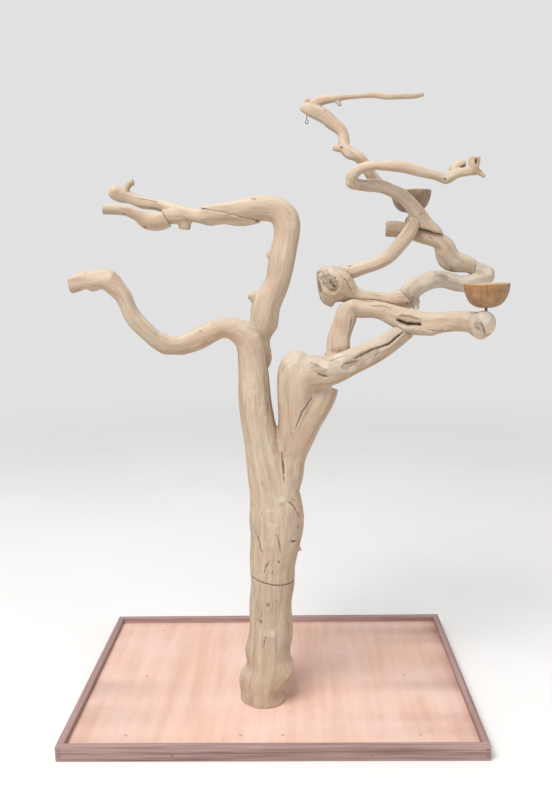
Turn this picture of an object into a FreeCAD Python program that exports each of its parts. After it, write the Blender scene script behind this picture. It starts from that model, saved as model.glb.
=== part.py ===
import FreeCAD, Part
import math
import os

# Parrot play stand: a branching driftwood tree screwed to a shallow tray, with two coconut bowls.
# Millimetres. The origin is the middle of the tray's underside, +X is to the right,
# +Y is to the back and +Z is up.

V = FreeCAD.Vector

# ---------------------------------------------------------------- tray
tray_width = 1200.0
tray_depth = 800.0
rim_height = 45.0
rail_thickness = 20.0
board_thickness = 15.0
batten_thickness = 12.0
batten_width = 70.0
middle_batten_width = 150.0
outer_batten_place = 420.0
rail_screw_spacing = 274.0
rail_screw_end_margin = 60.0

# ---------------------------------------------------------------- fasteners and clearances
wood_screw_diameter = 5.0
wood_screw_head_diameter = 9.5
wood_screw_head_height = 4.0
rail_screw_length = 45.0
board_screw_length = 24.0
branch_screw_length = 62.0
lag_diameter = 8.0
lag_length = 110.0
lag_head_across = 13.0
lag_head_height = 5.3
lag_circle_radius = 44.0
lag_count = 4
washer_diameter = 24.0
washer_thickness = 1.6
washer_recess_depth = 8.0
screw_clearance = 0.1
joint_gap = 0.2

# ---------------------------------------------------------------- trunk
trunk_x = -30.0
trunk_y = -125.0
saw_cut_height = 398.0
saw_cut_offset = 38.0
saw_cut_tilt = 9.0
saw_gap = 0.3
spigot_diameter = 20.0
spigot_length = 250.0
spigot_clearance = 0.08
spigot_end_room = 2.0

# ---------------------------------------------------------------- bowls
bowl_rim_diameter = 120.0
bowl_depth = 64.0
bowl_wall = 5.0
bowl_flat_diameter = 22.0
bowl_turn_clearance = 0.1
bowl_seat_gap = 0.3
standoff_height = 11.0
standoff_diameter = 8.0
bowl_screw_length = 46.0
bowl_screw_head_height = 3.2
bowl_washer_diameter = 16.0
bowl_washer_thickness = 1.2
front_bowl_place = (617.0, -130.0, 1185.0)
back_bowl_place = (466.0, 205.0, 1455.0)

# ---------------------------------------------------------------- hanging eye
eye_ring_diameter = 13.0
eye_wire_diameter = 2.2
eye_neck_length = 15.0
eye_thread_length = 16.0
eye_place = (155.0, 152.0, 1725.0)

# ---------------------------------------------------------------- the wood
# Each limb is a row of stations along its middle: x, y and z from the foot of the trunk, and
# the diameter there. Heights count from the top of the board.
trunk_and_left_perch = [
    (-10, 0, -8, 134), (-7, 0, 32, 134), (5, 0, 76, 143), (18, 0, 134, 143), (21, 0, 203, 136),
    (24, 0, 273, 133), (29, 0, 347, 133), (34, 0, 400, 136), (39, 0, 465, 142), (49, 0, 530, 154),
    (48, 0, 620, 152), (37, 0, 690, 134), (18, 0, 770, 114), (6, 0, 835, 101), (-3, 0, 900, 98),
    (-8, 0, 965, 94), (-9, 0, 1025, 88),
    (-11, -1, 1068, 85), (-18, -4, 1104, 82), (-38, -8, 1130, 76), (-62, -13, 1142, 66),
    (-90, -19, 1147, 58), (-131, -25, 1133, 61), (-172, -30, 1112, 60), (-208, -35, 1101, 54),
    (-259, -41, 1107, 54), (-297, -50, 1139, 49), (-331, -56, 1176, 50), (-352, -60, 1220, 47),
    (-371, -64, 1255, 53), (-391, -68, 1282, 60), (-421, -72, 1288, 57), (-452, -75, 1285, 51),
    (-478, -78, 1281, 47), (-502, -80, 1278, 45), (-526, -83, 1275, 44),
]
right_limb = [
    (60, 0, 613, 66), (76, 0, 675, 84), (89, 0, 733, 88), (98, 0, 778, 90), (109, -2, 828, 108),
    (113, -7, 880, 114), (114, -13, 935, 116), (116, -19, 985, 116), (120, -23, 1024, 110),
    (130, -26, 1050, 88), (138, -27, 1063, 52), (142, -27, 1069, 16),
]
cracked_branch = [
    (105, -22, 1005, 50), (130, -27, 1015, 88), (158, -30, 1019, 96), (190, -30, 1019, 92),
    (230, -28, 1027, 84), (270, -23, 1043, 77), (327, -6, 1067, 72), (370, 12, 1088, 66),
    (399, 24, 1104, 60), (424, 34, 1118, 52), (440, 40, 1126, 44),
]
sawn_stub = [
    (92, 0, 735, 62), (104, -6, 790, 84), (122, -12, 835, 92), (146, -14, 885, 94),
    (170, -8, 922, 92), (185, 0, 950, 90), (190, 5, 970, 88),
]
tall_limb = [
    (4, 33, 973, 46), (1, 39, 1023, 62), (2, 43, 1080, 76), (8, 46, 1132, 82), (23, 48, 1176, 86),
    (31, 50, 1210, 85), (55, 54, 1252, 76), (71, 58, 1299, 75), (81, 62, 1346, 76),
    (91, 66, 1390, 72), (94, 69, 1424, 74), (84, 72, 1455, 73), (58, 74, 1474, 69),
    (17, 77, 1480, 70), (-21, 80, 1473, 71), (-67, 82, 1467, 67), (-118, 85, 1465, 65),
    (-155, 88, 1461, 50),
]
tall_limb_knobs = [
    [(62, 62, 1350, 28), (45, 60, 1348, 25), (34, 60, 1345, 15)],
    [(10, 48, 1222, 42), (-8, 44, 1230, 32), (-21, 42, 1233, 15)],
]
upper_left_perch = [
    (40, 77, 1461, 56), (-5, 79, 1463, 56), (-67, 82, 1467, 66), (-118, 86, 1465, 65),
    (-152, 92, 1460, 47), (-190, 104, 1466, 43), (-222, 118, 1472, 52), (-247, 130, 1482, 48),
    (-284, 138, 1498, 33), (-315, 140, 1503, 34), (-350, 138, 1513, 34), (-385, 134, 1525, 39),
    (-408, 130, 1535, 42), (-423, 128, 1539, 30), (-428, 127, 1540, 12),
]
upper_left_cut_end = [(-200, 112, 1462, 38), (-232, 104, 1461, 42), (-290, 92, 1461, 40)]
upper_left_under_stub = [(-202, 112, 1463, 36), (-206, 112, 1441, 36), (-208, 112, 1425, 32)]
upper_left_hook = [
    (-382, 132, 1528, 20), (-374, 130, 1549, 17), (-364, 129, 1562, 19), (-354, 128, 1565, 20),
]
lower_left_perch = [
    (-240, 93, 1459, 46), (-262, 92, 1451, 52), (-288, 90, 1448, 55), (-313, 85, 1453, 50),
    (-332, 75, 1465, 37), (-352, 65, 1475, 30), (-390, 57, 1482, 31), (-420, 55, 1483, 30),
    (-431, 54, 1483, 29),
]
column_and_front_perch = [
    (233, 20, 1035, 64), (234, 36, 1063, 66), (238, 50, 1098, 66), (247, 58, 1130, 63),
    (257, 62, 1159, 65), (268, 68, 1182, 64), (289, 68, 1190, 56), (312, 64, 1186, 50),
    (348, 55, 1184, 47), (384, 45, 1172, 54), (437, 25, 1152, 65), (493, -5, 1146, 61),
    (529, -30, 1153, 56), (558, -55, 1157, 56), (586, -84, 1156, 58), (602, -114, 1154, 64),
    (608, -150, 1155, 66),
]
front_perch_swelling = [(586, -84, 1150, 46), (600, -114, 1147, 58), (606, -150, 1145, 62)]
stump_branch = [
    (187, 90, 1248, 92), (203, 92, 1251, 112), (219, 93, 1253, 119), (236, 94, 1252, 110),
    (256, 96, 1244, 86), (278, 99, 1229, 62), (306, 102, 1216, 54), (356, 106, 1208, 52),
    (398, 108, 1205, 53), (429, 110, 1214, 62), (456, 110, 1214, 58), (470, 111, 1212, 44),
]
arch_branch = [
    (453, 112, 1180, 54), (452, 112, 1216, 56), (459, 110, 1237, 58), (480, 116, 1252, 58),
    (508, 125, 1263, 58), (538, 135, 1267, 54), (573, 145, 1262, 50), (607, 153, 1252, 49),
    (640, 160, 1254, 50), (668, 166, 1265, 52), (690, 170, 1275, 50), (704, 172, 1279, 38),
    (711, 173, 1280, 16),
]
arch_knob = [(698, 171, 1275, 46), (680, 170, 1281, 50), (650, 167, 1294, 48), (630, 164, 1303, 46)]
shoulder_branch = [
    (664, 168, 1284, 46), (646, 167, 1301, 43), (605, 161, 1313, 57), (568, 153, 1333, 67),
    (552, 143, 1367, 56), (524, 140, 1384, 47), (494, 148, 1392, 42), (467, 165, 1404, 44),
    (446, 176, 1410, 46), (426, 185, 1415, 46), (408, 190, 1417, 44), (390, 193, 1418, 41),
]
curved_prop = [
    (235, 112, 1283, 44), (262, 117, 1291, 43), (283, 121, 1295, 42), (317, 118, 1306, 41),
    (350, 116, 1316, 41), (392, 113, 1337, 38), (422, 111, 1370, 41), (447, 112, 1402, 42),
    (460, 115, 1427, 38), (468, 118, 1440, 36),
]
upper_branch = [
    (522, 131, 1386, 60), (516, 130, 1400, 59), (496, 128, 1425, 49), (470, 123, 1460, 46),
    (449, 117, 1486, 42), (417, 107, 1512, 41), (384, 97, 1526, 37), (353, 87, 1536, 40),
    (323, 77, 1535, 33), (300, 66, 1537, 31), (280, 57, 1539, 30), (268, 52, 1541, 23),
    (261, 49, 1542, 10),
]
right_perch = [
    (286, 60, 1535, 24), (277, 53, 1549, 32), (280, 47, 1561, 32), (288, 44, 1570, 30),
    (300, 42, 1577, 28), (320, 39, 1583, 27), (344, 39, 1585, 26), (374, 40, 1583, 29),
    (424, 42, 1577, 31), (476, 45, 1563, 28), (520, 47, 1552, 27), (543, 48, 1547, 31),
    (567, 49, 1558, 25), (583, 50, 1562, 25), (598, 50, 1564, 25), (614, 51, 1565, 24),
    (629, 51, 1566, 22),
]
top_limb = [
    (364, 94, 1528, 34), (348, 93, 1552, 29), (318, 88, 1592, 31), (292, 91, 1619, 33),
    (267, 100, 1634, 34), (260, 110, 1650, 33), (259, 120, 1675, 31), (242, 130, 1705, 36),
    (210, 140, 1734, 41), (175, 147, 1753, 40), (153, 152, 1761, 30), (136, 156, 1761, 10),
]
top_twig = [
    (168, 148, 1768, 28), (181, 148, 1775, 28), (194, 147, 1781, 27), (213, 145, 1784, 23),
    (232, 143, 1785, 19), (270, 137, 1788, 15), (302, 133, 1788, 13), (346, 125, 1789, 17),
    (379, 117, 1782, 15), (417, 105, 1779, 14), (436, 100, 1778, 14), (455, 95, 1777, 14),
    (468, 91, 1778, 14), (481, 87, 1779, 13),
]
top_stubs = [
    [(170, 150, 1768, 18), (165, 152, 1781, 14), (152, 154, 1785, 12)],
    [(262, 102, 1640, 20), (240, 100, 1641, 17), (227, 100, 1643, 15)],
    [(240, 141, 1780, 14), (249, 140, 1769, 12), (253, 140, 1763, 10)],
]
right_perch_stubs = [
    [(560, 54, 1560, 20), (566, 60, 1578, 26), (580, 65, 1586, 26), (596, 68, 1587, 20)],
    [(614, 50, 1562, 26), (616, 48, 1582, 30), (617, 46, 1604, 30)],
    [(624, 51, 1566, 18), (640, 52, 1556, 14), (648, 50, 1548, 9)],
]
bowl_knob = [(480, 128, 1434, 30), (472, 160, 1438, 34), (466, 222, 1440, 34)]

# A flat joint is a point on the face and the way the face looks.
left_perch_end_face = ((-502, -80, 1278), (-1.0, -0.12, -0.12))
tall_limb_face = ((-15, 18, 1133), (0.5, 0.85, 0.215))
left_perch_face = ((-91, 80, 1467.5), (0.243, 0.0, 0.970))
lower_perch_face = ((-257, 95, 1460), (0.889, 0.0, 0.459))
arch_face = ((443, 100, 1211), (0.804, 0.0, 0.595))
knob_face = ((651, 167, 1299), (1.0, 0.0, -0.1))
upper_branch_foot_face = ((501, 105, 1411.5), (0.312, 0.0, 0.95))

# Each branch screw is a point where it crosses its joint, the way it points, how far back from the
# joint its head lies, and how deep the head is sunk below that.
branch_screws = [
    ((-5, 26.8, 1075), (-0.5, -0.85, -0.215), 28, 45),
    ((-5, 14.1, 1125), (-0.5, -0.85, -0.215), 28, 70),
    ((-62, 83, 1460), (0.7, 0.0, 0.7), 26, 30),
    ((-88, 85, 1467), (0.7, 0.0, 0.7), 38, 30),
    ((-257, 92, 1457), (0.9, 0.25, 0.35), 28, 50),
    ((233, 10, 1040), (0.0, -0.98, -0.2), 28, 50),
    ((411, 14, 1131), (0.35, 0.2, 0.91), 28, 40),
    ((265, 80, 1210), (0.05, -0.5, -0.86), 28, 60),
    ((289, 84, 1206), (0.0, -0.7, -0.71), 26, 40),
    ((443, 110, 1211), (-0.92, 0.0, -0.39), 20, 40),
    ((651, 167, 1300), (0.75, 0.0, -0.66), 24, 40),
    ((262, 110, 1285), (-0.5, -0.1, -0.86), 20, 30),
    ((468, 118, 1432), (0.9, 0.3, -0.1), 20, 30),
    ((520, 138, 1408), (-0.55, -0.15, 0.82), 26, 40),
]

# ---------------------------------------------------------------- worked out
board_top = batten_thickness + board_thickness
side_rail_length = tray_depth - 2 * rail_thickness
board_width = tray_width - 2 * rail_thickness
foot = V(trunk_x, trunk_y, board_top)
spigot_axis = V(math.sin(math.radians(saw_cut_tilt)), 0, math.cos(math.radians(saw_cut_tilt)))
saw_cut_middle = foot + V(saw_cut_offset, 0, saw_cut_height)
ring_points = 10
lobe_size = 0.035


# ---------------------------------------------------------------- shapes
def placed(point):
    """A point given from the foot of the trunk, in the stand's own frame."""
    return foot + V(*point[:3])


def directions(middles):
    """The way the limb runs at each of its stations."""
    last = len(middles) - 1
    ways = []
    for i in range(len(middles)):
        way = middles[min(i + 1, last)] - middles[max(i - 1, 0)]
        ways.append(way.normalize())
    return ways


def limb(stations, grow=0.0, twist=0.0):
    """One smooth branch through its stations, with the slight lobes that grown wood has."""
    middles = [placed(station) for station in stations]
    ways = directions(middles)
    side = ways[0].cross(V(0.2, 1.0, 0.1)).normalize()
    wires = []
    for i, (middle, way) in enumerate(zip(middles, ways)):
        side = (side - way * side.dot(way)).normalize()
        other = way.cross(side)
        radius = stations[i][3] / 2 + grow
        phase = twist + 0.5 * i
        points = []
        for k in range(ring_points):
            angle = 2 * math.pi * k / ring_points
            lobes = math.cos(2 * angle + phase) + 0.6 * math.cos(3 * angle - 1.7 * phase)
            reach = radius * (1 + lobe_size * lobes)
            points.append(middle + side * (reach * math.cos(angle)) + other * (reach * math.sin(angle)))
        ring = Part.BSplineCurve()
        ring.interpolate(Points=points, PeriodicFlag=True)
        wires.append(Part.Wire([ring.toShape()]))
    return Part.makeLoft(wires, True, False)


def joined(shapes):
    """Limbs that grew together, as one solid."""
    whole = shapes[0].fuse(shapes[1:])
    return largest(whole)


def largest(shape):
    """The biggest solid of a cut shape, without its crumbs."""
    return max(shape.Solids, key=lambda solid: solid.Volume)


def block_above(face, ahead, reach_along=2000.0, reach_across=2000.0, shift=0.0):
    """A block that stands on a flat joint's face, on the side that the face looks to."""
    point, way = face
    normal = V(*way).normalize()
    along = (V(0, 0, 1) - normal * normal.z).normalize()
    across = normal.cross(along)
    base = placed(point) + normal * shift
    corner = base - along * (reach_along / 2) - across * (reach_across / 2)
    corners = [corner, corner + along * reach_along,
               corner + along * reach_along + across * reach_across, corner + across * reach_across]
    outline = Part.makePolygon(corners + [corner])
    return Part.Face(outline).extrude(normal * ahead)


def flipped(face):
    """The same flat joint seen from its other side."""
    point, way = face
    return point, tuple(-part for part in way)


def rod(start, way, length, diameter):
    return Part.makeCylinder(diameter / 2, length, start, way)


# ---------------------------------------------------------------- tray
def tray_board():
    board = Part.makeBox(board_width, side_rail_length, board_thickness)
    board.translate(V(-board_width / 2, -side_rail_length / 2, batten_thickness))
    return board


def long_rail(side):
    """The front rail (side -1) or the back rail (side 1), the full width of the tray."""
    start = -tray_depth / 2 if side < 0 else tray_depth / 2 - rail_thickness
    rail = Part.makeBox(tray_width, rail_thickness, rim_height)
    rail.translate(V(-tray_width / 2, start, 0))
    return rail


def side_rail(side):
    """The left rail (side -1) or the right rail (side 1), between the two long ones."""
    start = -tray_width / 2 if side < 0 else tray_width / 2 - rail_thickness
    rail = Part.makeBox(rail_thickness, side_rail_length, rim_height)
    rail.translate(V(start, -side_rail_length / 2, 0))
    return rail


def batten(place, width):
    strip = Part.makeBox(width, side_rail_length, batten_thickness)
    strip.translate(V(place - width / 2, -side_rail_length / 2, 0))
    return strip


def countersunk_screw(head, way, length, slack=0.0, sink=0.0):
    """A wood screw from the middle of its head. With slack it is the hole that holds the screw."""
    way = V(*way).normalize() if isinstance(way, tuple) else way
    shank_radius = wood_screw_diameter / 2 + slack
    head_radius = wood_screw_head_diameter / 2 + slack
    cone = Part.makeCone(head_radius, shank_radius, wood_screw_head_height, head, way)
    shank = rod(head, way, length + slack, 2 * shank_radius)
    screw = cone.fuse(shank)
    if sink > 0:
        screw = screw.fuse(rod(head - way * sink, way, sink, 2 * head_radius))
    return screw.removeSplitter()


def rail_screw_places():
    """Where each rail screw goes in, and which way it points."""
    board_middle = batten_thickness + board_thickness / 2
    places = []
    for side in (-1, 1):
        way = V(0, -side, 0)
        face = side * tray_depth / 2
        for x in (-rail_screw_spacing, 0, rail_screw_spacing):
            places.append((V(x, face, board_middle), way))
        for x in (-tray_width / 2 + rail_thickness / 2, tray_width / 2 - rail_thickness / 2):
            places.append((V(x, face, rim_height * 0.35), way))
            places.append((V(x, face, rim_height * 0.75), way))
    for side in (-1, 1):
        way = V(-side, 0, 0)
        face = side * tray_width / 2
        for y in (-side_rail_length / 4, side_rail_length / 4):
            places.append((V(face, y, board_middle), way))
    return places


def board_screw_places():
    """Two rows of screws down each outer batten, and one pair at each end of the middle one."""
    end = side_rail_length / 2 - rail_screw_end_margin
    places = []
    for x in (-outer_batten_place, outer_batten_place):
        for y in (-end, 0, end):
            places.append(V(x, y, board_top))
    for x in (-middle_batten_width / 2 + 15, middle_batten_width / 2 - 15):
        for y in (-end, end):
            places.append(V(x + trunk_x, y, board_top))
    return places


def lag_places():
    """The lag screws stand in a ring under the foot of the trunk."""
    places = []
    for k in range(lag_count):
        angle = 2 * math.pi * (k + 0.5) / lag_count
        places.append(V(trunk_x + lag_circle_radius * math.cos(angle),
                        trunk_y + lag_circle_radius * math.sin(angle), 0))
    return places


def hexagon_head(centre, way, across, height):
    corner_radius = across / math.sqrt(3)
    corners = [V(corner_radius * math.cos(k * math.pi / 3), corner_radius * math.sin(k * math.pi / 3), 0)
               for k in range(7)]
    head = Part.Face(Part.makePolygon(corners)).extrude(V(0, 0, height))
    head.Placement = FreeCAD.Placement(centre, FreeCAD.Rotation(V(0, 0, 1), way))
    return head


def lag_screw(place):
    """Hexagon head up in the batten's recess, shank through batten and board into the trunk."""
    seat = place + V(0, 0, washer_recess_depth - washer_thickness)
    head = hexagon_head(seat - V(0, 0, lag_head_height), V(0, 0, 1), lag_head_across, lag_head_height)
    shank = rod(seat, V(0, 0, 1), lag_length, lag_diameter)
    return head.fuse(shank).removeSplitter()


def lag_hole(place):
    seat = place + V(0, 0, washer_recess_depth - washer_thickness)
    hole = rod(place, V(0, 0, 1), seat.z + lag_length + screw_clearance, lag_diameter + 2 * screw_clearance)
    recess = rod(place, V(0, 0, 1), washer_recess_depth, washer_diameter + 2 * screw_clearance)
    return hole.fuse(recess)


def lag_washer(place):
    low = place + V(0, 0, washer_recess_depth - washer_thickness)
    disc = rod(low, V(0, 0, 1), washer_thickness, washer_diameter)
    return disc.cut(rod(low, V(0, 0, 1), washer_thickness, lag_diameter + 2 * screw_clearance))


# ---------------------------------------------------------------- trunk, spigot and limbs
def saw_block(above):
    """All the space above or below the saw cut."""
    way = spigot_axis if above else -spigot_axis
    return rod(saw_cut_middle + way * saw_gap, way, 1200, 2400)


def spigot_rod():
    low_end = saw_cut_middle - spigot_axis * (spigot_length / 2)
    return rod(low_end, spigot_axis, spigot_length, spigot_diameter)


def spigot_hole(above):
    """The hole for one half of the rod, with a little room past its end."""
    way = spigot_axis if above else -spigot_axis
    overlap = 1.0
    start = saw_cut_middle - way * overlap
    depth = spigot_length / 2 + spigot_end_room + overlap
    return rod(start, way, depth, spigot_diameter + 2 * spigot_clearance)


def taken_by(stations, twist=0.0, box=None):
    """The room that a branch takes up in another one, with the joint's gap around it."""
    room = limb(stations, joint_gap, twist)
    if box:
        low, high = box
        size = V(*high) - V(*low)
        room = room.common(Part.makeBox(size.x, size.y, size.z, placed(low)))
    return room


def screw_head(screw):
    """Where a branch screw's head is, and the way the screw points."""
    point, way, back, sink = screw
    way = V(*way).normalize()
    return placed(point) - way * back, way


def branch_screw_hole(screw):
    head, way = screw_head(screw)
    return countersunk_screw(head, way, branch_screw_length, screw_clearance, screw[3])


def drilled(branch):
    """The branch with the holes of all the branch screws that reach it."""
    for screw in branch_screws:
        hole = branch_screw_hole(screw)
        if branch.BoundBox.intersect(hole.BoundBox):
            branch = branch.cut(hole)
    return largest(branch)


def base_trunk_shape(stem):
    """The foot of the trunk, flat on the board, up to the saw cut."""
    above_board = Part.makeBox(600, 600, 900, foot - V(300, 300, 0))
    base = largest(stem.common(above_board).common(saw_block(False)))
    for place in lag_places():
        base = base.cut(lag_hole(place))
    return largest(base.cut(spigot_hole(False)))


def crown_trunk_shape(stem):
    """The trunk above the saw cut, with the left perch and the two big limbs that grow out of it."""
    upper = largest(stem.common(saw_block(True)))
    upper = upper.cut(block_above(left_perch_end_face, 60, 120, 120))
    crown = joined([upper, limb(right_limb), limb(cracked_branch, twist=0.8), limb(sawn_stub, twist=1.5)])
    crown = crown.cut(spigot_hole(True))
    crown = crown.cut(block_above(tall_limb_face, 200, 350, 110))
    front = taken_by(column_and_front_perch, box=((370, -60, 1050), (500, 120, 1260)))
    return drilled(crown.cut(front))


def tall_limb_shape():
    """The limb screwed to the back of the trunk, that bends over to the left at its top."""
    whole = joined([limb(tall_limb)] + [limb(knob) for knob in tall_limb_knobs])
    whole = whole.cut(block_above(flipped(tall_limb_face), 300, 500, 300, -joint_gap))
    whole = whole.cut(block_above(flipped(left_perch_face), 120, 224, 240))
    return drilled(whole)


def upper_left_perch_shape():
    """The upper left perch under the tall limb's end, with its stub, its hook and its cut end."""
    cut_end = limb(upper_left_cut_end, twist=0.7)
    cut_end = cut_end.cut(block_above(flipped(lower_perch_face), 200, 300, 300))
    whole = joined([limb(upper_left_perch), cut_end, limb(upper_left_under_stub), limb(upper_left_hook)])
    whole = whole.cut(block_above(left_perch_face, 120, 224, 240, -joint_gap))
    whole = whole.cut(Part.makeBox(200, 300, 300, placed((16.5, -60, 1320))))
    return drilled(whole)


def lower_left_perch_shape():
    whole = limb(lower_left_perch, twist=1.1)
    whole = whole.cut(block_above(lower_perch_face, 200, 300, 300, -joint_gap))
    whole = whole.cut(taken_by(upper_left_perch)).cut(taken_by(upper_left_under_stub))
    return drilled(largest(whole))


def column_perch_shape():
    """The curved column that stands on the cracked branch and bends over into the front perch."""
    whole = joined([limb(column_and_front_perch), limb(front_perch_swelling)])
    whole = whole.cut(taken_by(cracked_branch, 0.8, ((90, -100, 950), (370, 120, 1200))))
    return drilled(largest(whole.cut(bowl_screw_hole(front_bowl_place))))


def stump_branch_shape():
    """The thick broken branch behind the column, hollow at its broken end."""
    whole = limb(stump_branch).cut(taken_by(column_and_front_perch))
    hollow = Part.makeCone(25, 10, 45, placed((183, 90, 1248)), V(1, 0, 0))
    whole = whole.cut(hollow).cut(block_above(arch_face, 100, 300, 300, -joint_gap))
    return drilled(largest(whole))


def arch_branch_shape():
    """The pale arch with the knob at its right end."""
    knob = limb(arch_knob).cut(block_above(flipped(knob_face), 200, 300, 300))
    arch = limb(arch_branch).cut(block_above(flipped(arch_face), 100, 300, 300))
    return drilled(joined([largest(arch), largest(knob)]))


def shoulder_branch_shape():
    whole = limb(shoulder_branch, twist=0.5)
    whole = whole.cut(block_above(knob_face, 200, 300, 300, -joint_gap)).cut(taken_by(arch_branch))
    return drilled(largest(whole))


def curved_prop_shape():
    whole = limb(curved_prop).cut(taken_by(stump_branch)).cut(taken_by(upper_branch))
    whole = whole.cut(taken_by(bowl_knob))
    return drilled(largest(whole))


def upper_branch_shape():
    """The branch that carries the right perch, the top limb with its twig, and the back bowl."""
    growths = [right_perch, top_limb, top_twig, bowl_knob] + top_stubs + right_perch_stubs
    foot_end = limb(upper_branch).cut(block_above(flipped(upper_branch_foot_face), 120, 200, 160))
    whole = joined([largest(foot_end)] + [limb(growth) for growth in growths])
    whole = whole.cut(taken_by(shoulder_branch, 0.5))
    whole = whole.cut(bowl_screw_hole(back_bowl_place)).cut(screw_eye(screw_clearance))
    return drilled(largest(whole))


# ---------------------------------------------------------------- bowls
def bowl_outline(inside):
    """Half of the bowl's section, from the bottom's middle out to the rim."""
    wall = bowl_wall if inside else 0.0
    rim_radius = bowl_rim_diameter / 2 - wall
    flat_radius = bowl_flat_diameter / 2
    low = wall
    points = []
    for k in range(9):
        angle = math.pi / 2 * k / 8
        across = flat_radius + (rim_radius - flat_radius) * math.sin(angle) ** 0.92
        up = low + (bowl_depth - low) * (1 - math.cos(angle)) ** 1.05
        points.append(V(across, 0, up))
    return points


def bowl_solid(inside):
    points = bowl_outline(inside)
    curve = Part.BSplineCurve()
    curve.interpolate(points)
    top = points[-1]
    bottom = points[0]
    edges = [Part.LineSegment(V(0, 0, bottom.z), bottom).toShape(), curve.toShape(),
             Part.LineSegment(top, V(0, 0, top.z)).toShape(),
             Part.LineSegment(V(0, 0, top.z), V(0, 0, bottom.z)).toShape()]
    face = Part.Face(Part.Wire(edges))
    return face.revolve(V(0, 0, 0), V(0, 0, 1), 360)


def bowl(place):
    """Half a coconut shell, open at the top, that turns on its screw."""
    shell = bowl_solid(False).cut(bowl_solid(True))
    hole = rod(V(0, 0, -1), V(0, 0, 1), bowl_wall + 3, wood_screw_diameter + 2 * bowl_turn_clearance)
    shell = shell.cut(hole)
    shell.translate(bowl_bottom(place))
    return shell


def bowl_bottom(place):
    return placed(place) + V(0, 0, standoff_height + bowl_seat_gap)


def standoff(place):
    low = placed(place)
    sleeve = rod(low, V(0, 0, 1), standoff_height, standoff_diameter)
    return sleeve.cut(rod(low, V(0, 0, 1), standoff_height, wood_screw_diameter + 2 * screw_clearance))


def bowl_washer(place):
    low = bowl_bottom(place) + V(0, 0, bowl_wall + bowl_seat_gap)
    disc = rod(low, V(0, 0, 1), bowl_washer_thickness, bowl_washer_diameter)
    return disc.cut(rod(low, V(0, 0, 1), bowl_washer_thickness, wood_screw_diameter + 2 * screw_clearance))


def bowl_screw(place):
    """Round head inside the bowl, shank down through the bowl and the sleeve into the branch."""
    seat = bowl_bottom(place) + V(0, 0, bowl_wall + bowl_seat_gap + bowl_washer_thickness)
    dome = Part.makeSphere(wood_screw_head_diameter / 2, seat, V(0, 0, 1), 0, 90, 360)
    dome = dome.common(rod(seat, V(0, 0, 1), bowl_screw_head_height, wood_screw_head_diameter))
    return dome.fuse(rod(seat, V(0, 0, -1), bowl_screw_length, wood_screw_diameter)).removeSplitter()


def bowl_screw_hole(place):
    """The hole in the branch, with a flat spot for the sleeve to stand on."""
    seat = placed(place)
    above = standoff_height + bowl_wall + 2 * bowl_seat_gap + bowl_washer_thickness
    depth = bowl_screw_length - above + 2
    hole = rod(seat + V(0, 0, 1), V(0, 0, -1), depth, wood_screw_diameter + 2 * screw_clearance)
    return hole.fuse(rod(seat, V(0, 0, 1), 30, standoff_diameter * 2))


# ---------------------------------------------------------------- hanging eye
def screw_eye(slack=0.0):
    """A closed wire ring on a short shank, screwed up into the top limb."""
    middle = placed(eye_place)
    wire_radius = eye_wire_diameter / 2 + slack
    ring_radius = (eye_ring_diameter - eye_wire_diameter) / 2
    turned = V(math.cos(math.radians(35)), math.sin(math.radians(35)), 0)
    shank_start = middle + V(0, 0, ring_radius)
    shank = rod(shank_start, V(0, 0, 1), eye_neck_length + eye_thread_length, 2 * wire_radius)
    if slack > 0:
        return shank
    ring = Part.makeTorus(ring_radius, wire_radius, middle, V(0, 0, 1).cross(turned))
    return ring.fuse(shank)


# ---------------------------------------------------------------- the nodes
def cut_all(shape, holes):
    for hole in holes:
        if shape.BoundBox.intersect(hole.BoundBox):
            shape = shape.cut(hole)
    return shape


def tray_nodes():
    rail_holes = [countersunk_screw(head, way, rail_screw_length, screw_clearance)
                  for head, way in rail_screw_places()]
    board_holes = [countersunk_screw(head, V(0, 0, -1), board_screw_length, screw_clearance)
                   for head in board_screw_places()]
    lag_holes = [lag_hole(place) for place in lag_places()]
    pieces = {
        "front_rail": long_rail(-1),
        "back_rail": long_rail(1),
        "left_rail": side_rail(-1),
        "right_rail": side_rail(1),
        "tray_board": tray_board(),
        "left_batten": batten(-outer_batten_place, batten_width),
        "middle_batten": batten(trunk_x, middle_batten_width),
        "right_batten": batten(outer_batten_place, batten_width),
    }
    nodes = {name: cut_all(piece, rail_holes + board_holes + lag_holes) for name, piece in pieces.items()}
    nodes["rail_screws"] = Part.makeCompound(
        [countersunk_screw(head, way, rail_screw_length) for head, way in rail_screw_places()])
    nodes["board_screws"] = Part.makeCompound(
        [countersunk_screw(head, V(0, 0, -1), board_screw_length) for head in board_screw_places()])
    nodes["trunk_screws"] = Part.makeCompound([lag_screw(place) for place in lag_places()])
    nodes["trunk_washers"] = Part.makeCompound([lag_washer(place) for place in lag_places()])
    return nodes


def wood_nodes():
    stem = limb(trunk_and_left_perch)
    return {
        "base_trunk": base_trunk_shape(stem),
        "spigot_rod": spigot_rod(),
        "crown_trunk": crown_trunk_shape(stem),
        "tall_limb": tall_limb_shape(),
        "upper_left_perch": upper_left_perch_shape(),
        "lower_left_perch": lower_left_perch_shape(),
        "column_perch": column_perch_shape(),
        "stump_branch": stump_branch_shape(),
        "arch_branch": arch_branch_shape(),
        "shoulder_branch": shoulder_branch_shape(),
        "curved_prop": curved_prop_shape(),
        "upper_branch": upper_branch_shape(),
    }


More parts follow.
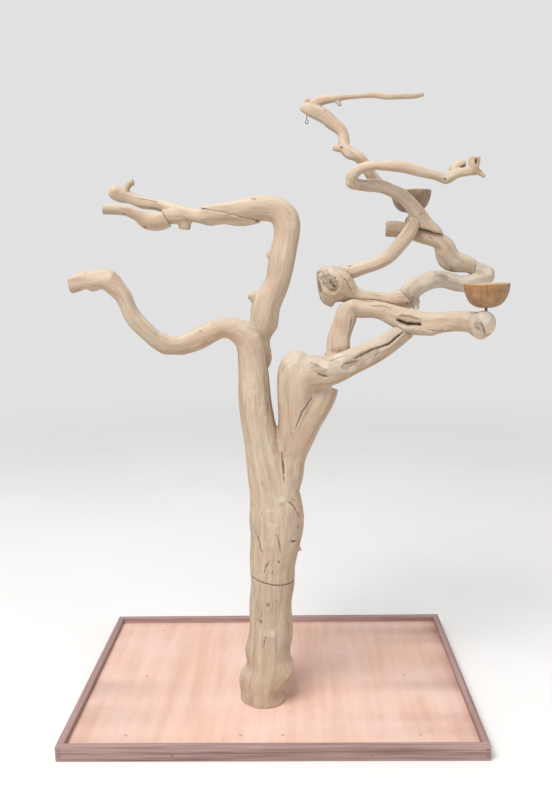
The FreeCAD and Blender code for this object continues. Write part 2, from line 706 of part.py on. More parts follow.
def fitting_nodes():
    bowl_places = (front_bowl_place, back_bowl_place)
    screws = [countersunk_screw(*screw_head(screw), branch_screw_length) for screw in branch_screws]
    return {
        "branch_screws": Part.makeCompound(screws),
        "bowl_front": bowl(front_bowl_place),
        "bowl_back": bowl(back_bowl_place),
        "bowl_screws": Part.makeCompound([bowl_screw(place) for place in bowl_places]),
        "bowl_washers": Part.makeCompound([bowl_washer(place) for place in bowl_places]),
        "bowl_standoffs": Part.makeCompound([standoff(place) for place in bowl_places]),
        "screw_eye": screw_eye(),
    }


os.makedirs("parts", exist_ok=True)
for group in (tray_nodes, wood_nodes, fitting_nodes):
    for name, shape in group().items():
        shape.exportStep("parts/" + name + ".step")
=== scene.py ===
import math
import bpy
import bmesh
import numpy as np
from mathutils import Matrix, Vector
from mathutils.bvhtree import BVHTree


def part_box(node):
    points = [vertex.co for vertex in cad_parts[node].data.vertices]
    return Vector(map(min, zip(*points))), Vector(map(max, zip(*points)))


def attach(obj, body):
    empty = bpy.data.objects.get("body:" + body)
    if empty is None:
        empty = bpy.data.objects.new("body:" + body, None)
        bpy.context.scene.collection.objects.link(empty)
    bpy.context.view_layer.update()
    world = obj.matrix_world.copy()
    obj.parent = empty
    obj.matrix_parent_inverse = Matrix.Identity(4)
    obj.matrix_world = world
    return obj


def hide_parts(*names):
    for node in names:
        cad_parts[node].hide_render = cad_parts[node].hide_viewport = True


# Parrot play stand: sandblasted driftwood branches on a shallow tray, with two coconut bowls.
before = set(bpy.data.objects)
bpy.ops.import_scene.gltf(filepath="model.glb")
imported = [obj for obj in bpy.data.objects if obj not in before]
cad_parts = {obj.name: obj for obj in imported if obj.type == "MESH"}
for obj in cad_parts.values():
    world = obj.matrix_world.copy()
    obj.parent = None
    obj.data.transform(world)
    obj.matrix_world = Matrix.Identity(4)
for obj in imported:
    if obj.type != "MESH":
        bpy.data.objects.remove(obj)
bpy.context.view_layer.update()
print("frame loaded,", len(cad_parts), "nodes")

mm = 0.001
trunkFoot = Vector((-30 * mm, -125 * mm, 27 * mm))   # middle line points count from here


# Camera
# Found from the tray's four corners in the photograph. Turns are in degrees.
photoCamera = {"place": (0.083, -2.296, 1.343), "down": 9.97, "left": 1.56, "roll": -1.13,
               "focalPixels": 764.0, "frameWidth": 552, "frameHeight": 800, "sensor": 36.0}


def cameraWays():
    down, left, roll = (math.radians(photoCamera[turn]) for turn in ("down", "left", "roll"))
    ahead = Vector((-math.sin(left) * math.cos(down), math.cos(left) * math.cos(down), -math.sin(down)))
    level = Vector((math.cos(left), math.sin(left), 0))
    upright = level.cross(ahead)
    right = level * math.cos(roll) + upright * math.sin(roll)
    up = upright * math.cos(roll) - level * math.sin(roll)
    return right, up, ahead


def pixelWay(pixel):
    right, up, ahead = cameraWays()
    across = pixel[0] - photoCamera["frameWidth"] / 2
    below = pixel[1] - photoCamera["frameHeight"] / 2
    return (ahead * photoCamera["focalPixels"] + right * across - up * below).normalized()


def makeCamera():
    lens = bpy.data.cameras.new("photoCamera")
    lens.sensor_fit = "HORIZONTAL"
    lens.sensor_width = photoCamera["sensor"]
    lens.lens = photoCamera["focalPixels"] / photoCamera["frameWidth"] * photoCamera["sensor"]
    lens.clip_end = 100
    camera = bpy.data.objects.new("photoCamera", lens)
    bpy.context.scene.collection.objects.link(camera)
    right, up, ahead = cameraWays()
    turn = Matrix((right, up, -ahead)).transposed().to_4x4()
    camera.matrix_world = Matrix.Translation(Vector(photoCamera["place"])) @ turn
    bpy.context.scene.camera = camera


makeCamera()
print("camera set")


# Materials
def linear(hexColour):
    parts = [int(hexColour[i:i + 2], 16) / 255 for i in (1, 3, 5)]
    return tuple(p / 12.92 if p <= 0.04045 else ((p + 0.055) / 1.055) ** 2.4 for p in parts) + (1.0,)


def addNode(tree, kind, settings=None, links=None):
    node = tree.nodes.new("ShaderNode" + kind)
    for name, value in (settings or {}).items():
        if isinstance(name, str) and hasattr(node, name):
            setattr(node, name, value)
        else:
            node.inputs[name].default_value = value
    for name, source in (links or {}).items():
        tree.links.new(source, node.inputs[name])
    return node


def newMaterial(name):
    material = bpy.data.materials.new(name)
    material.use_nodes = True
    tree = material.node_tree
    tree.nodes.clear()
    return material, tree


def finishMaterial(tree, colour, bump, settings):
    shader = addNode(tree, "BsdfPrincipled", settings, {"Base Color": colour})
    if bump is not None:
        tree.links.new(bump, shader.inputs["Normal"])
    addNode(tree, "OutputMaterial", {}, {"Surface": shader.outputs[0]})


def colourSteps(tree, factor, steps):
    ramp = addNode(tree, "ValToRGB", {}, {"Fac": factor})
    while len(ramp.color_ramp.elements) < len(steps):
        ramp.color_ramp.elements.new(0.5)
    for element, (place, hexColour) in zip(ramp.color_ramp.elements, steps):
        element.position = place
        element.color = linear(hexColour)
    return ramp.outputs["Color"]


def blend(tree, factor, low, high):
    node = addNode(tree, "Mix", {"data_type": "RGBA"})
    for socket, value in ((node.inputs[0], factor), (node.inputs[6], low), (node.inputs[7], high)):
        if isinstance(value, (float, int)):
            socket.default_value = value
        elif isinstance(value, str):
            socket.default_value = linear(value)
        else:
            tree.links.new(value, socket)
    return node.outputs[2]


def grainNoise(tree, place, lengthMm, widthMm, detail=4.0, roughness=0.6):
    # Noise drawn out along the grain: one fleck is lengthMm long and widthMm wide.
    squash = addNode(tree, "VectorMath", {"operation": "MULTIPLY",
                     1: (1000 / lengthMm, 1000 / widthMm, 1000 / widthMm)}, {0: place})
    noise = addNode(tree, "TexNoise", {"Scale": 1.0, "Detail": detail, "Roughness": roughness},
                    {"Vector": squash.outputs[0]})
    return noise.outputs["Fac"]


def meshValue(tree, name, output="Fac"):
    return addNode(tree, "Attribute", {"attribute_name": name}).outputs[output]


def objectPlace(tree):
    return addNode(tree, "TexCoord").outputs["Object"]


def mixNoise(tree, first, second, share):
    # This share of the first noise and the rest of the second.
    rest = addNode(tree, "Math", {"operation": "MULTIPLY", 1: 1 - share}, {0: second})
    both = addNode(tree, "Math", {"operation": "MULTIPLY_ADD", 1: share}, {0: first, 2: rest.outputs[0]})
    return both.outputs[0]


def toRange(tree, value, low, high, toLow, toHigh):
    node = addNode(tree, "MapRange", {"From Min": low, "From Max": high, "To Min": toLow,
                                      "To Max": toHigh}, {"Value": value})
    return node.outputs[0]


def makeBump(tree, height, strength, millimetres):
    bump = addNode(tree, "Bump", {"Strength": strength, "Distance": millimetres * mm},
                   {"Height": height})
    return bump.outputs[0]


# Sandblasted driftwood: the blast wears the soft early wood away, so the surface is dry, matt and
# softly ridged along the grain. The colour is pale on the ridges and browner down in the grooves: grain
# tone with painted highlight and painted shade.
# The darkest colour is painted shade in cracks, splits, knot dips and the saw kerf, and also torn wood's
# own darker colour.
driftwoodFinish = {"groove": "#826c57", "body": "#b39c84", "proud": "#cfbda8", "warm": "#c0a088",
                   "grey": "#a3988b", "hollow": "#584434", "bleached": "#d9cdbe",
                   "fibreLength": 75, "fibreWidth": 3.4, "streakLength": 230, "streakWidth": 20,
                   "fibreShare": 0.4, "patchSize": 120, "warmth": 0.6, "greyness": 0.55, "ringWidth": 4.5,
                   "ringWander": 45.0, "ringContrast": 0.5, "roughness": 0.86, "bumpMm": 0.4}
# The arch branch has lain outside for longer and went grey.
weatheredFinish = {**driftwoodFinish, "body": "#afa08d", "proud": "#cdc3b4", "groove": "#7f7060",
                   "warm": "#bca58b", "grey": "#a09a92"}


def growthRings(tree, finish, place):
    # Growth rings show where a branch was sawn or broken across.
    across = addNode(tree, "VectorMath", {"operation": "MULTIPLY", 1: (0.0, 1.0, 1.0)},
                     {0: meshValue(tree, "grainOwn", "Vector")})
    distance = addNode(tree, "VectorMath", {"operation": "LENGTH"}, {0: across.outputs[0]})
    wander = addNode(tree, "TexNoise", {"Scale": finish["ringWander"], "Detail": 2.0}, {"Vector": place})
    ringPlace = addNode(tree, "Math", {"operation": "MULTIPLY_ADD", 1: 1000 / finish["ringWidth"]},
                        {0: distance.outputs["Value"], 2: wander.outputs["Fac"]})
    ringTurn = addNode(tree, "Math", {"operation": "MULTIPLY", 1: 2 * math.pi}, {0: ringPlace.outputs[0]})
    rings = addNode(tree, "Math", {"operation": "SINE"}, {0: ringTurn.outputs[0]})
    ringTone = toRange(tree, rings.outputs[0], -1.0, 1.0, 0.0, finish["ringContrast"])
    return blend(tree, ringTone, finish["proud"], finish["groove"])


def makeDriftwood(name, finish):
    material, tree = newMaterial(name)
    share = meshValue(tree, "grainShare")
    layers = []
    for length, width, detail in ((finish["fibreLength"], finish["fibreWidth"], 5.0),
                                  (finish["streakLength"], finish["streakWidth"], 3.0)):
        own = grainNoise(tree, meshValue(tree, "grainOwn", "Vector"), length, width, detail)
        following = grainNoise(tree, meshValue(tree, "grainNext", "Vector"), length, width, detail)
        mixed = addNode(tree, "Mix", {"data_type": "FLOAT"}, {0: share, 2: own, 3: following})
        layers.append(mixed.outputs[0])
    fibre, streak = layers
    # Pale where the bump stands proud and brown in its grooves: grain tone, partly painted highlight and
    # painted shade.
    colour = colourSteps(tree, mixNoise(tree, fibre, streak, finish["fibreShare"]),
                         [(0.26, finish["groove"]), (0.42, finish["body"]), (0.64, finish["proud"])])
    place = objectPlace(tree)
    patchSize = finish["patchSize"]
    warmPatches = grainNoise(tree, place, patchSize, patchSize, 3.0)
    colour = blend(tree, toRange(tree, warmPatches, 0.5, 0.68, 0.0, finish["warmth"]), colour,
                   finish["warm"])
    elsewhere = addNode(tree, "VectorMath", {"operation": "ADD", 1: (3.1, 1.7, 0.4)}, {0: place})
    greyPatches = grainNoise(tree, elsewhere.outputs[0], patchSize * 0.7, patchSize * 0.7, 4.0)
    colour = blend(tree, toRange(tree, greyPatches, 0.54, 0.72, 0.0, finish["greyness"]), colour,
                   finish["grey"])
    colour = blend(tree, meshValue(tree, "endGrain"), colour, growthRings(tree, finish, place))
    # Pale spots and crack lips, plus painted top light: the tops are painted paler as if lit from above.
    colour = blend(tree, meshValue(tree, "bleach"), colour, finish["bleached"])
    # Painted shade in cracks, splits, knot dips and the saw kerf, mixed with the darker colour of torn
    # wood.
    colour = blend(tree, meshValue(tree, "hollow"), colour, finish["hollow"])
    finishMaterial(tree, colour, makeBump(tree, fibre, 0.55, finish["bumpMm"]),
                   {"Roughness": finish["roughness"], "IOR": 1.5, "Specular IOR Level": 0.3})
    return material


# Planed softwood, stained red-brown: the stain sits in the pores, and worn edges show paler.
railFinish = {"dark": "#7e605a", "body": "#a68883", "light": "#b69a95", "worn": "#cdb6b0",
              "fibreLength": 180, "fibreWidth": 3.0, "bandLength": 700, "bandWidth": 12,
              "roughness": 0.62, "bumpMm": 0.2}
battenFinish = {"dark": "#9a7650", "body": "#c3a077", "light": "#d8bb94", "worn": "#e0cba9",
                "fibreLength": 160, "fibreWidth": 3.0, "bandLength": 600, "bandWidth": 14,
                "roughness": 0.7, "bumpMm": 0.2}
# Turned beech has short fine flecks and a closed, slightly polished surface.
dowelFinish = {"dark": "#b48a5d", "body": "#cfa878", "light": "#dcbb90", "worn": "#e3c9a4",
               "fibreLength": 22, "fibreWidth": 2.0, "bandLength": 260, "bandWidth": 9,
               "roughness": 0.5, "bumpMm": 0.1}


def makePlanedWood(name, finish):
    material, tree = newMaterial(name)
    place = meshValue(tree, "grainOwn", "Vector")
    fibre = grainNoise(tree, place, finish["fibreLength"], finish["fibreWidth"], 5.0)
    band = grainNoise(tree, place, finish["bandLength"], finish["bandWidth"], 2.0)
    colour = colourSteps(tree, mixNoise(tree, fibre, band, 0.5),
                         [(0.36, finish["dark"]), (0.49, finish["body"]), (0.63, finish["light"])])
    colour = blend(tree, meshValue(tree, "wornEdge"), colour, finish["worn"])
    finishMaterial(tree, colour, makeBump(tree, fibre, 0.5, finish["bumpMm"]),
                   {"Roughness": finish["roughness"], "IOR": 1.5, "Specular IOR Level": 0.35})
    return material


# Plywood faced with peeled light-red veneer: long soft figure from front to back and short open
# pores. Scrubbing has left pale washed clouds on it.
boardFinish = {"deep": "#dfb6a2", "body": "#e6beab", "light": "#eac7b5", "washed": "#efd2c8",
               "poreLength": 26, "poreWidth": 2.6, "figureLength": 520, "figureWidth": 34,
               "poreContrast": 0.3, "washSize": 240, "wash": 0.55, "roughness": 0.72, "bumpMm": 0.12}


def makeBoardVeneer(name, finish):
    material, tree = newMaterial(name)
    place = meshValue(tree, "grainOwn", "Vector")
    pore = grainNoise(tree, place, finish["poreLength"], finish["poreWidth"], 4.0, 0.7)
    figure = grainNoise(tree, place, finish["figureLength"], finish["figureWidth"], 4.0)
    colour = colourSteps(tree, figure, [(0.34, finish["deep"]), (0.5, finish["body"]),
                                        (0.66, finish["light"])])
    poreTone = toRange(tree, pore, 0.34, 0.46, finish["poreContrast"], 0.0)
    colour = blend(tree, poreTone, colour, finish["deep"])
    wash = grainNoise(tree, place, finish["washSize"], finish["washSize"] * 0.8, 5.0, 0.65)
    colour = blend(tree, toRange(tree, wash, 0.44, 0.66, 0.0, finish["wash"]), colour, finish["washed"])
    finishMaterial(tree, colour, makeBump(tree, pore, 0.4, finish["bumpMm"]),
                   {"Roughness": finish["roughness"], "IOR": 1.5, "Specular IOR Level": 0.3})
    return material


# Sanded coconut shell: hard and close, with fine fibre lines that run from pole to rim and a
# satin gloss where it was polished.
lightShellFinish = {"dark": "#76522f", "body": "#9a7148", "light": "#b48c60", "rim": "#c9a984",
                    "inside": "#b5916b", "lineLength": 34, "lineWidth": 1.6, "patchSize": 26,
                    "roughness": 0.42, "bumpMm": 0.25}
darkShellFinish = {"dark": "#65503e", "body": "#927760", "light": "#ab9277", "rim": "#b89b7c",
                   "inside": "#9a7d60", "lineLength": 34, "lineWidth": 1.6, "patchSize": 26,
                   "roughness": 0.45, "bumpMm": 0.25}


def makeShell(name, finish):
    material, tree = newMaterial(name)
    lines = grainNoise(tree, meshValue(tree, "grainOwn", "Vector"), finish["lineLength"],
                       finish["lineWidth"], 4.0, 0.65)
    patches = grainNoise(tree, objectPlace(tree), finish["patchSize"], finish["patchSize"], 3.0)
    colour = colourSteps(tree, mixNoise(tree, lines, patches, 0.6),
                         [(0.36, finish["dark"]), (0.5, finish["body"]), (0.64, finish["light"])])
    colour = blend(tree, meshValue(tree, "shellInside"), colour, finish["inside"])
    colour = blend(tree, meshValue(tree, "shellRim"), colour, finish["rim"])
    finishMaterial(tree, colour, makeBump(tree, lines, 0.5, finish["bumpMm"]),
                   {"Roughness": finish["roughness"], "IOR": 1.53})
    return material


# Zinc-plated steel is cloudy blue-grey, with small crystals. Bare wire dulls to a darker grey.
zincFinish = {"dark": "#8f9294", "light": "#c4c6c5", "crystal": 1.6, "roughness": 0.38, "metal": 1.0}
wireFinish = {"dark": "#6b6b6c", "light": "#939394", "crystal": 2.4, "roughness": 0.45, "metal": 1.0}
# The tray's sunk screw heads took on the stain and the dust, so they hardly show.
stainedScrewFinish = {"dark": "#86675f", "light": "#9c7f77", "crystal": 1.2, "roughness": 0.6,
                      "metal": 0.3}
dustyScrewFinish = {**stainedScrewFinish, "dark": "#c79f8b", "light": "#d8b3a0"}


def makeSteel(name, finish):
    material, tree = newMaterial(name)
    clouds = grainNoise(tree, objectPlace(tree), finish["crystal"], finish["crystal"], 3.0)
    colour = colourSteps(tree, clouds, [(0.35, finish["dark"]), (0.65, finish["light"])])
    finishMaterial(tree, colour, makeBump(tree, clouds, 0.15, 0.02),
                   {"Metallic": finish["metal"], "Roughness": finish["roughness"]})
    return material


driftwood = makeDriftwood("sandblastedDriftwood", driftwoodFinish)
greyDriftwood = makeDriftwood("weatheredDriftwood", weatheredFinish)
stainedRail = makePlanedWood("stainedSoftwood", railFinish)
planedBatten = makePlanedWood("planedSoftwood", battenFinish)
turnedBeech = makePlanedWood("turnedBeech", dowelFinish)
boardVeneer = makeBoardVeneer("lightRedPlywood", boardFinish)
lightShell = makeShell("sandedCoconutShell", lightShellFinish)
darkShell = makeShell("darkCoconutShell", darkShellFinish)
zincSteel = makeSteel("zincPlatedSteel", zincFinish)
wireSteel = makeSteel("dullSteelWire", wireFinish)
stainedScrew = makeSteel("stainedSteelScrew", stainedScrewFinish)
dustyScrew = makeSteel("dustySteelScrew", dustyScrewFinish)
print("materials made")


# Mesh helpers
def readPoints(mesh, name="co"):
    flat = np.empty(len(mesh.vertices) * 3, np.float32)
    mesh.vertices.foreach_get(name, flat)
    return flat.reshape(-1, 3).astype(float)


def writePoints(mesh, points):
    mesh.vertices.foreach_set("co", points.astype(np.float32).ravel())
    mesh.update()


def keepValue(mesh, name, values):
    vector = values.ndim == 2
    layer = mesh.attributes.new(name, "FLOAT_VECTOR" if vector else "FLOAT", "POINT")
    layer.data.foreach_set("vector" if vector else "value", values.astype(np.float32).ravel())


def newPiece(name, mesh, body, material, node):
    piece = bpy.data.objects.new(name, mesh)
    bpy.context.scene.collection.objects.link(piece)
    mesh.materials.clear()
    mesh.materials.append(material)
    mesh.polygons.foreach_set("use_smooth", [True] * len(mesh.polygons))
    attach(piece, body)
    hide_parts(node)


def latticeNoise(points, seed):
    # Smooth noise from -1 to 1 whose cells are one unit wide.
    cell = np.floor(points).astype(np.int64)
    part = points - cell
    part = part * part * (3 - 2 * part)
    total = np.zeros(len(points))
    for corner in range(8):
        step = np.array([corner & 1, corner >> 1 & 1, corner >> 2 & 1])
        place = cell + step
        key = place[:, 0] * 73856093 ^ place[:, 1] * 19349663 ^ place[:, 2] * 83492791 ^ seed * 374761393
        key = (key ^ key >> 13) * 1274126177 & 0xffffffff
        key = (key ^ key >> 16) * 668265263 & 0xffffffff
        value = (key >> 8 & 0xffff) / 32767.5 - 1
        weight = np.prod(np.where(step == 1, part, 1 - part), axis=1)
        total += value * weight
    return total


def smoothStep(values, low, high):
    t = np.clip((values - low) / (high - low), 0, 1)
    return t * t * (3 - 2 * t)


# Grain
# Middle lines of the limbs: x, y, z from the trunk's foot and the diameter, in millimetres.
trunkLine = [
    (-10, 0, -8, 134), (-7, 0, 32, 134), (5, 0, 76, 143), (18, 0, 134, 143), (24, 0, 273, 133),
    (39, 0, 465, 142), (48, 0, 620, 152), (18, 0, 770, 114), (-3, 0, 900, 98), (-9, 0, 1025, 88),
    (-18, -4, 1104, 82), (-62, -13, 1142, 66), (-131, -25, 1133, 61), (-208, -35, 1101, 54),
    (-259, -41, 1107, 54), (-297, -50, 1139, 49), (-331, -56, 1176, 50), (-371, -64, 1255, 53),
    (-421, -72, 1288, 57), (-502, -80, 1278, 45)]
rightLimbLine = [
    (60, 0, 613, 66), (98, 0, 778, 90), (113, -7, 880, 114), (120, -23, 1024, 110),
    (142, -27, 1069, 16)]
crackedBranchLine = [
    (105, -22, 1005, 50), (158, -30, 1019, 96), (230, -28, 1027, 84), (327, -6, 1067, 72),
    (399, 24, 1104, 60), (440, 40, 1126, 44)]
sawnStubLine = [
    (92, 0, 735, 62), (122, -12, 835, 92), (146, -14, 885, 94), (170, -8, 922, 92), (190, 5, 970, 88)]
tallLimbLine = [
    (4, 33, 973, 46), (2, 43, 1080, 76), (31, 50, 1210, 85), (71, 58, 1299, 75), (91, 66, 1390, 72),
    (94, 69, 1424, 74), (84, 72, 1455, 73), (58, 74, 1474, 69), (17, 77, 1480, 70), (-67, 82, 1467, 67),
    (-155, 88, 1461, 50)]
tallLimbKnobLine = [(62, 62, 1350, 28), (34, 60, 1345, 15)]
lowKnobLine = [(10, 48, 1222, 42), (-21, 42, 1233, 15)]
upperLeftLine = [
    (40, 77, 1461, 56), (-67, 82, 1467, 66), (-152, 92, 1460, 47), (-222, 118, 1472, 52),
    (-284, 138, 1498, 33), (-350, 138, 1513, 34), (-408, 130, 1535, 42), (-428, 127, 1540, 12)]
upperLeftCutLine = [(-200, 112, 1462, 38), (-232, 104, 1461, 42), (-290, 92, 1461, 40)]
upperLeftStubLine = [(-202, 112, 1463, 36), (-208, 112, 1425, 32)]
upperLeftHookLine = [
    (-382, 132, 1528, 20), (-374, 130, 1549, 17), (-364, 129, 1562, 19), (-354, 128, 1565, 20)]
lowerLeftLine = [
    (-240, 93, 1459, 46), (-288, 90, 1448, 55), (-332, 75, 1465, 37), (-390, 57, 1482, 31),
    (-431, 54, 1483, 29)]
frontPerchLine = [
    (233, 20, 1035, 64), (238, 50, 1098, 66), (257, 62, 1159, 65), (268, 68, 1182, 64),
    (289, 68, 1190, 56), (312, 64, 1186, 50), (384, 45, 1172, 54), (437, 25, 1152, 65),
    (493, -5, 1146, 61), (558, -55, 1157, 56), (602, -114, 1152, 66), (608, -150, 1150, 72)]
stumpLine = [
    (187, 90, 1248, 92), (219, 93, 1253, 119), (256, 96, 1244, 86), (278, 99, 1229, 62),
    (356, 106, 1208, 52), (429, 110, 1214, 62), (470, 111, 1212, 44)]
archLine = [
    (452, 112, 1216, 56), (459, 110, 1237, 58), (480, 116, 1252, 58), (538, 135, 1267, 54),
    (607, 153, 1252, 49), (668, 166, 1265, 52), (711, 173, 1280, 16)]
archKnobLine = [(698, 171, 1275, 46), (650, 167, 1294, 48)]
shoulderLine = [
    (664, 168, 1284, 46), (646, 167, 1301, 43), (605, 161, 1313, 57), (568, 153, 1333, 67),
    (552, 143, 1367, 56), (524, 140, 1384, 47), (467, 165, 1404, 44), (390, 193, 1418, 40)]
propLine = [
    (235, 112, 1283, 44), (283, 121, 1295, 42), (350, 116, 1316, 41), (392, 113, 1337, 38),
    (422, 111, 1370, 41), (447, 112, 1402, 42), (468, 118, 1440, 36)]
upperBranchLine = [
    (522, 131, 1386, 60), (496, 128, 1425, 49), (449, 117, 1486, 42), (384, 97, 1526, 37),
    (323, 77, 1535, 33), (268, 52, 1541, 23)]
rightPerchLine = [
    (286, 60, 1535, 24), (277, 53, 1549, 32), (280, 47, 1561, 32), (300, 42, 1577, 28),
    (344, 39, 1585, 26), (424, 42, 1577, 31), (476, 45, 1563, 28), (543, 48, 1547, 31),
    (567, 49, 1558, 25), (629, 51, 1566, 22)]
topLimbLine = [
    (364, 94, 1528, 34), (318, 88, 1592, 31), (267, 100, 1634, 34), (259, 120, 1675, 31),
    (210, 140, 1734, 41), (153, 152, 1761, 30)]
topTwigLine = [
    (168, 148, 1768, 28), (232, 143, 1785, 19), (302, 133, 1788, 13), (346, 125, 1789, 17),
    (417, 105, 1779, 14), (481, 87, 1779, 13)]
topStubLines = [
    [(170, 150, 1768, 18), (152, 154, 1785, 12)], [(262, 102, 1640, 20), (227, 100, 1643, 15)],
    [(240, 141, 1780, 14), (253, 140, 1763, 10)]]
perchStubLines = [
    [(560, 54, 1560, 20), (566, 60, 1578, 26), (596, 68, 1587, 20)],
    [(614, 50, 1562, 26), (617, 46, 1604, 30)], [(624, 51, 1566, 18), (648, 50, 1548, 9)]]
bowlKnobLine = [(480, 128, 1434, 30), (472, 160, 1438, 34), (466, 222, 1440, 34)]


def onLine(points, line, index):
    # Where each point lies on a middle line: nearness, length along it and the two ways across.
    stations = np.array(line, float)
    middles = stations[:, :3] * mm + np.array(trunkFoot)
    radii = stations[:, 3] * mm / 2
    spans = np.diff(middles, axis=0)
    lengths = np.linalg.norm(spans, axis=1)
    starts = np.concatenate([[0], np.cumsum(lengths)])
    ways = np.vstack([spans[:1], spans[:-1] + spans[1:], spans[-1:]])
    ways /= np.linalg.norm(ways, axis=1)[:, None]
    side = np.cross(ways[0], (0.2, 1.0, 0.1))
    sides = []
    for way in ways:
        side = side - way * side.dot(way)
        side /= np.linalg.norm(side)
        sides.append(side)
    sides = np.array(sides)
    best = np.full(len(points), 1e9)
    place = np.zeros((len(points), 3))
    run = np.zeros((len(points), 3))
    for i, span in enumerate(spans):
        t = np.clip((points - middles[i]) @ span / lengths[i] ** 2, 0, 1)
        off = points - middles[i] - t[:, None] * span
        near = np.linalg.norm(off, axis=1) / (radii[i] * (1 - t) + radii[i + 1] * t)
        way = ways[i] * (1 - t)[:, None] + ways[i + 1] * t[:, None]
        way /= np.linalg.norm(way, axis=1)[:, None]
        across = sides[i] * (1 - t)[:, None] + sides[i + 1] * t[:, None]
        across -= way * np.sum(across * way, axis=1)[:, None]
        across /= np.linalg.norm(across, axis=1)[:, None]
        other = np.cross(way, across)
        better = near < best
        best = np.where(better, near, best)
        local = np.stack([starts[i] + t * lengths[i] + 7.3 * index, np.sum(off * across, axis=1),
                          np.sum(off * other, axis=1)], axis=1)
        place[better] = local[better]
        run[better] = way[better]
    return best, place, run


def grainOf(points, lines):
    # The nearest middle line's grain, the next one's, and how much of the next one shows.
    found = [onLine(points, line, k) for k, line in enumerate(lines)]
    if len(found) == 1:
        return found[0][1], found[0][1], np.zeros(len(points)), found[0][2]
    nearness = np.array([f[0] for f in found])
    order = np.argsort(nearness, axis=0)
    pick = np.arange(len(points))
    places = np.array([f[1] for f in found])
    runs = np.array([f[2] for f in found])
    gap = nearness[order[1], pick] - nearness[order[0], pick]
    share = 0.5 * (1 - smoothStep(gap, 0, 0.35))
    return places[order[0], pick], places[order[1], pick], share, runs[order[0], pick]


# Driftwood pieces
# The wood's relief, the same for every branch. Heights are in millimetres. The top value paints
# upward-facing surfaces paler, as painted top light; the split and stray-knot tones are painted shade.
woodRelief = {"bulge": 1.5, "bulgeLength": 90, "bulgeWidth": 34, "ridge": 0.9, "ridgeLength": 210,
              "ridgeWidth": 12, "fibre": 0.3, "fibreLength": 60, "fibreWidth": 5, "splitDepth": 1.2,
              "splitLength": 260, "splitWidth": 22, "splitTone": 0.35, "evenRounds": 3, "forkRounds": 23,
              "topWear": 0.4, "crackWander": 1.3, "crackWanderSpan": 11, "crackFray": 0.6,
              "crackFraySpan": 4, "lip": 0.1, "lipPaleness": 0.25, "chipSize": 9, "stripeLength": 40,
              "stripeWidth": 4, "strayKnotRise": 2.2, "strayKnotDip": 2.4, "strayKnotTone": 0.6}


def alongGrain(place, length, width):
    return place * (np.array([1 / length, 1 / width, 1 / width]) / mm)


def reliefOf(place, seed):
    r = woodRelief
    bulge = latticeNoise(alongGrain(place, r["bulgeLength"], r["bulgeWidth"]), seed)
    ridge = latticeNoise(alongGrain(place, r["ridgeLength"], r["ridgeWidth"]), seed + 1)
    ridge += 0.5 * latticeNoise(alongGrain(place, r["ridgeLength"] / 2, r["ridgeWidth"] / 2), seed + 2)
    fibre = latticeNoise(alongGrain(place, r["fibreLength"], r["fibreWidth"]), seed + 3)
    split = latticeNoise(alongGrain(place, r["splitLength"], r["splitWidth"]), seed + 4)
    where = latticeNoise(alongGrain(place, 70, 40), seed + 5)
    cut = np.clip(1 - np.abs(split) / 0.07, 0, 1) * smoothStep(where, 0.15, 0.45)
    height = (r["bulge"] * bulge + r["ridge"] * ridge + r["fibre"] * fibre) * mm
    return height, cut


def neighbourMean(points, edges, count):
    total = np.zeros_like(points)
    for axis in range(3):
        total[:, axis] = (np.bincount(edges[:, 0], points[edges[:, 1], axis], len(points))
                          + np.bincount(edges[:, 1], points[edges[:, 0], axis], len(points)))
    return total / count[:, None]


def distanceToPath(points, path):
    # How far each point is from the path, and how far along the path, from 0 to 1, it is nearest.
    best = np.linalg.norm(points - path[0], axis=1)
    where = np.full(len(points), 0.5 if len(path) == 1 else 0.0)
    lengths = [np.linalg.norm(b - a) for a, b in zip(path[:-1], path[1:])]
    run = 0.0
    for a, b, length in zip(path[:-1], path[1:], lengths):
        span = b - a
        t = np.clip((points - a) @ span / max(length ** 2, 1e-12), 0, 1)
        away = np.linalg.norm(points - a - t[:, None] * span, axis=1)
        better = away < best
        best = np.where(better, away, best)
        where = np.where(better, (run + t * length) / max(sum(lengths), 1e-9), where)
        run += length
    return best, where


def surfaceCopy(node, voxel):
    # A clean even skin over the CAD wood, its biggest closed part only.
    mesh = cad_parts[node].data.copy()
    holder = bpy.data.objects.new("skin", mesh)
    bpy.context.scene.collection.objects.link(holder)
    remesh = holder.modifiers.new("even", "REMESH")
    remesh.mode = "VOXEL"
    remesh.voxel_size = voxel
    remesh.adaptivity = 0
    skin = bpy.data.meshes.new_from_object(holder.evaluated_get(bpy.context.evaluated_depsgraph_get()))
    bpy.data.objects.remove(holder)
    bpy.data.meshes.remove(mesh)
    work = bmesh.new()
    work.from_mesh(skin)
    work.verts.ensure_lookup_table()
    left = set(work.verts)
    groups = []
    while left:
        seed = left.pop()
        group, queue = {seed}, [seed]
        while queue:
            for edge in queue.pop().link_edges:
                for vert in edge.verts:
                    if vert in left:
                        left.discard(vert)
                        group.add(vert)
                        queue.append(vert)
        groups.append(group)
    groups.sort(key=len, reverse=True)
    for group in groups[1:]:
        bmesh.ops.delete(work, geom=list(group), context="VERTS")
    work.to_mesh(skin)
    work.free()
    return skin


# The saw cut between base and crown, the spigot's bore through it, and the painted shade along its kerf.
sawCut = {"middle": (0.008, -0.125, 0.425), "tilt": math.radians(9.0), "halfGap": 0.3, "skin": 1.6,
          "boreRadius": 10.25, "boreReach": 13.5, "boreDepth": 124, "kerfTone": 0.75}
sawWay = np.array((math.sin(sawCut["tilt"]), 0, math.cos(sawCut["tilt"])))


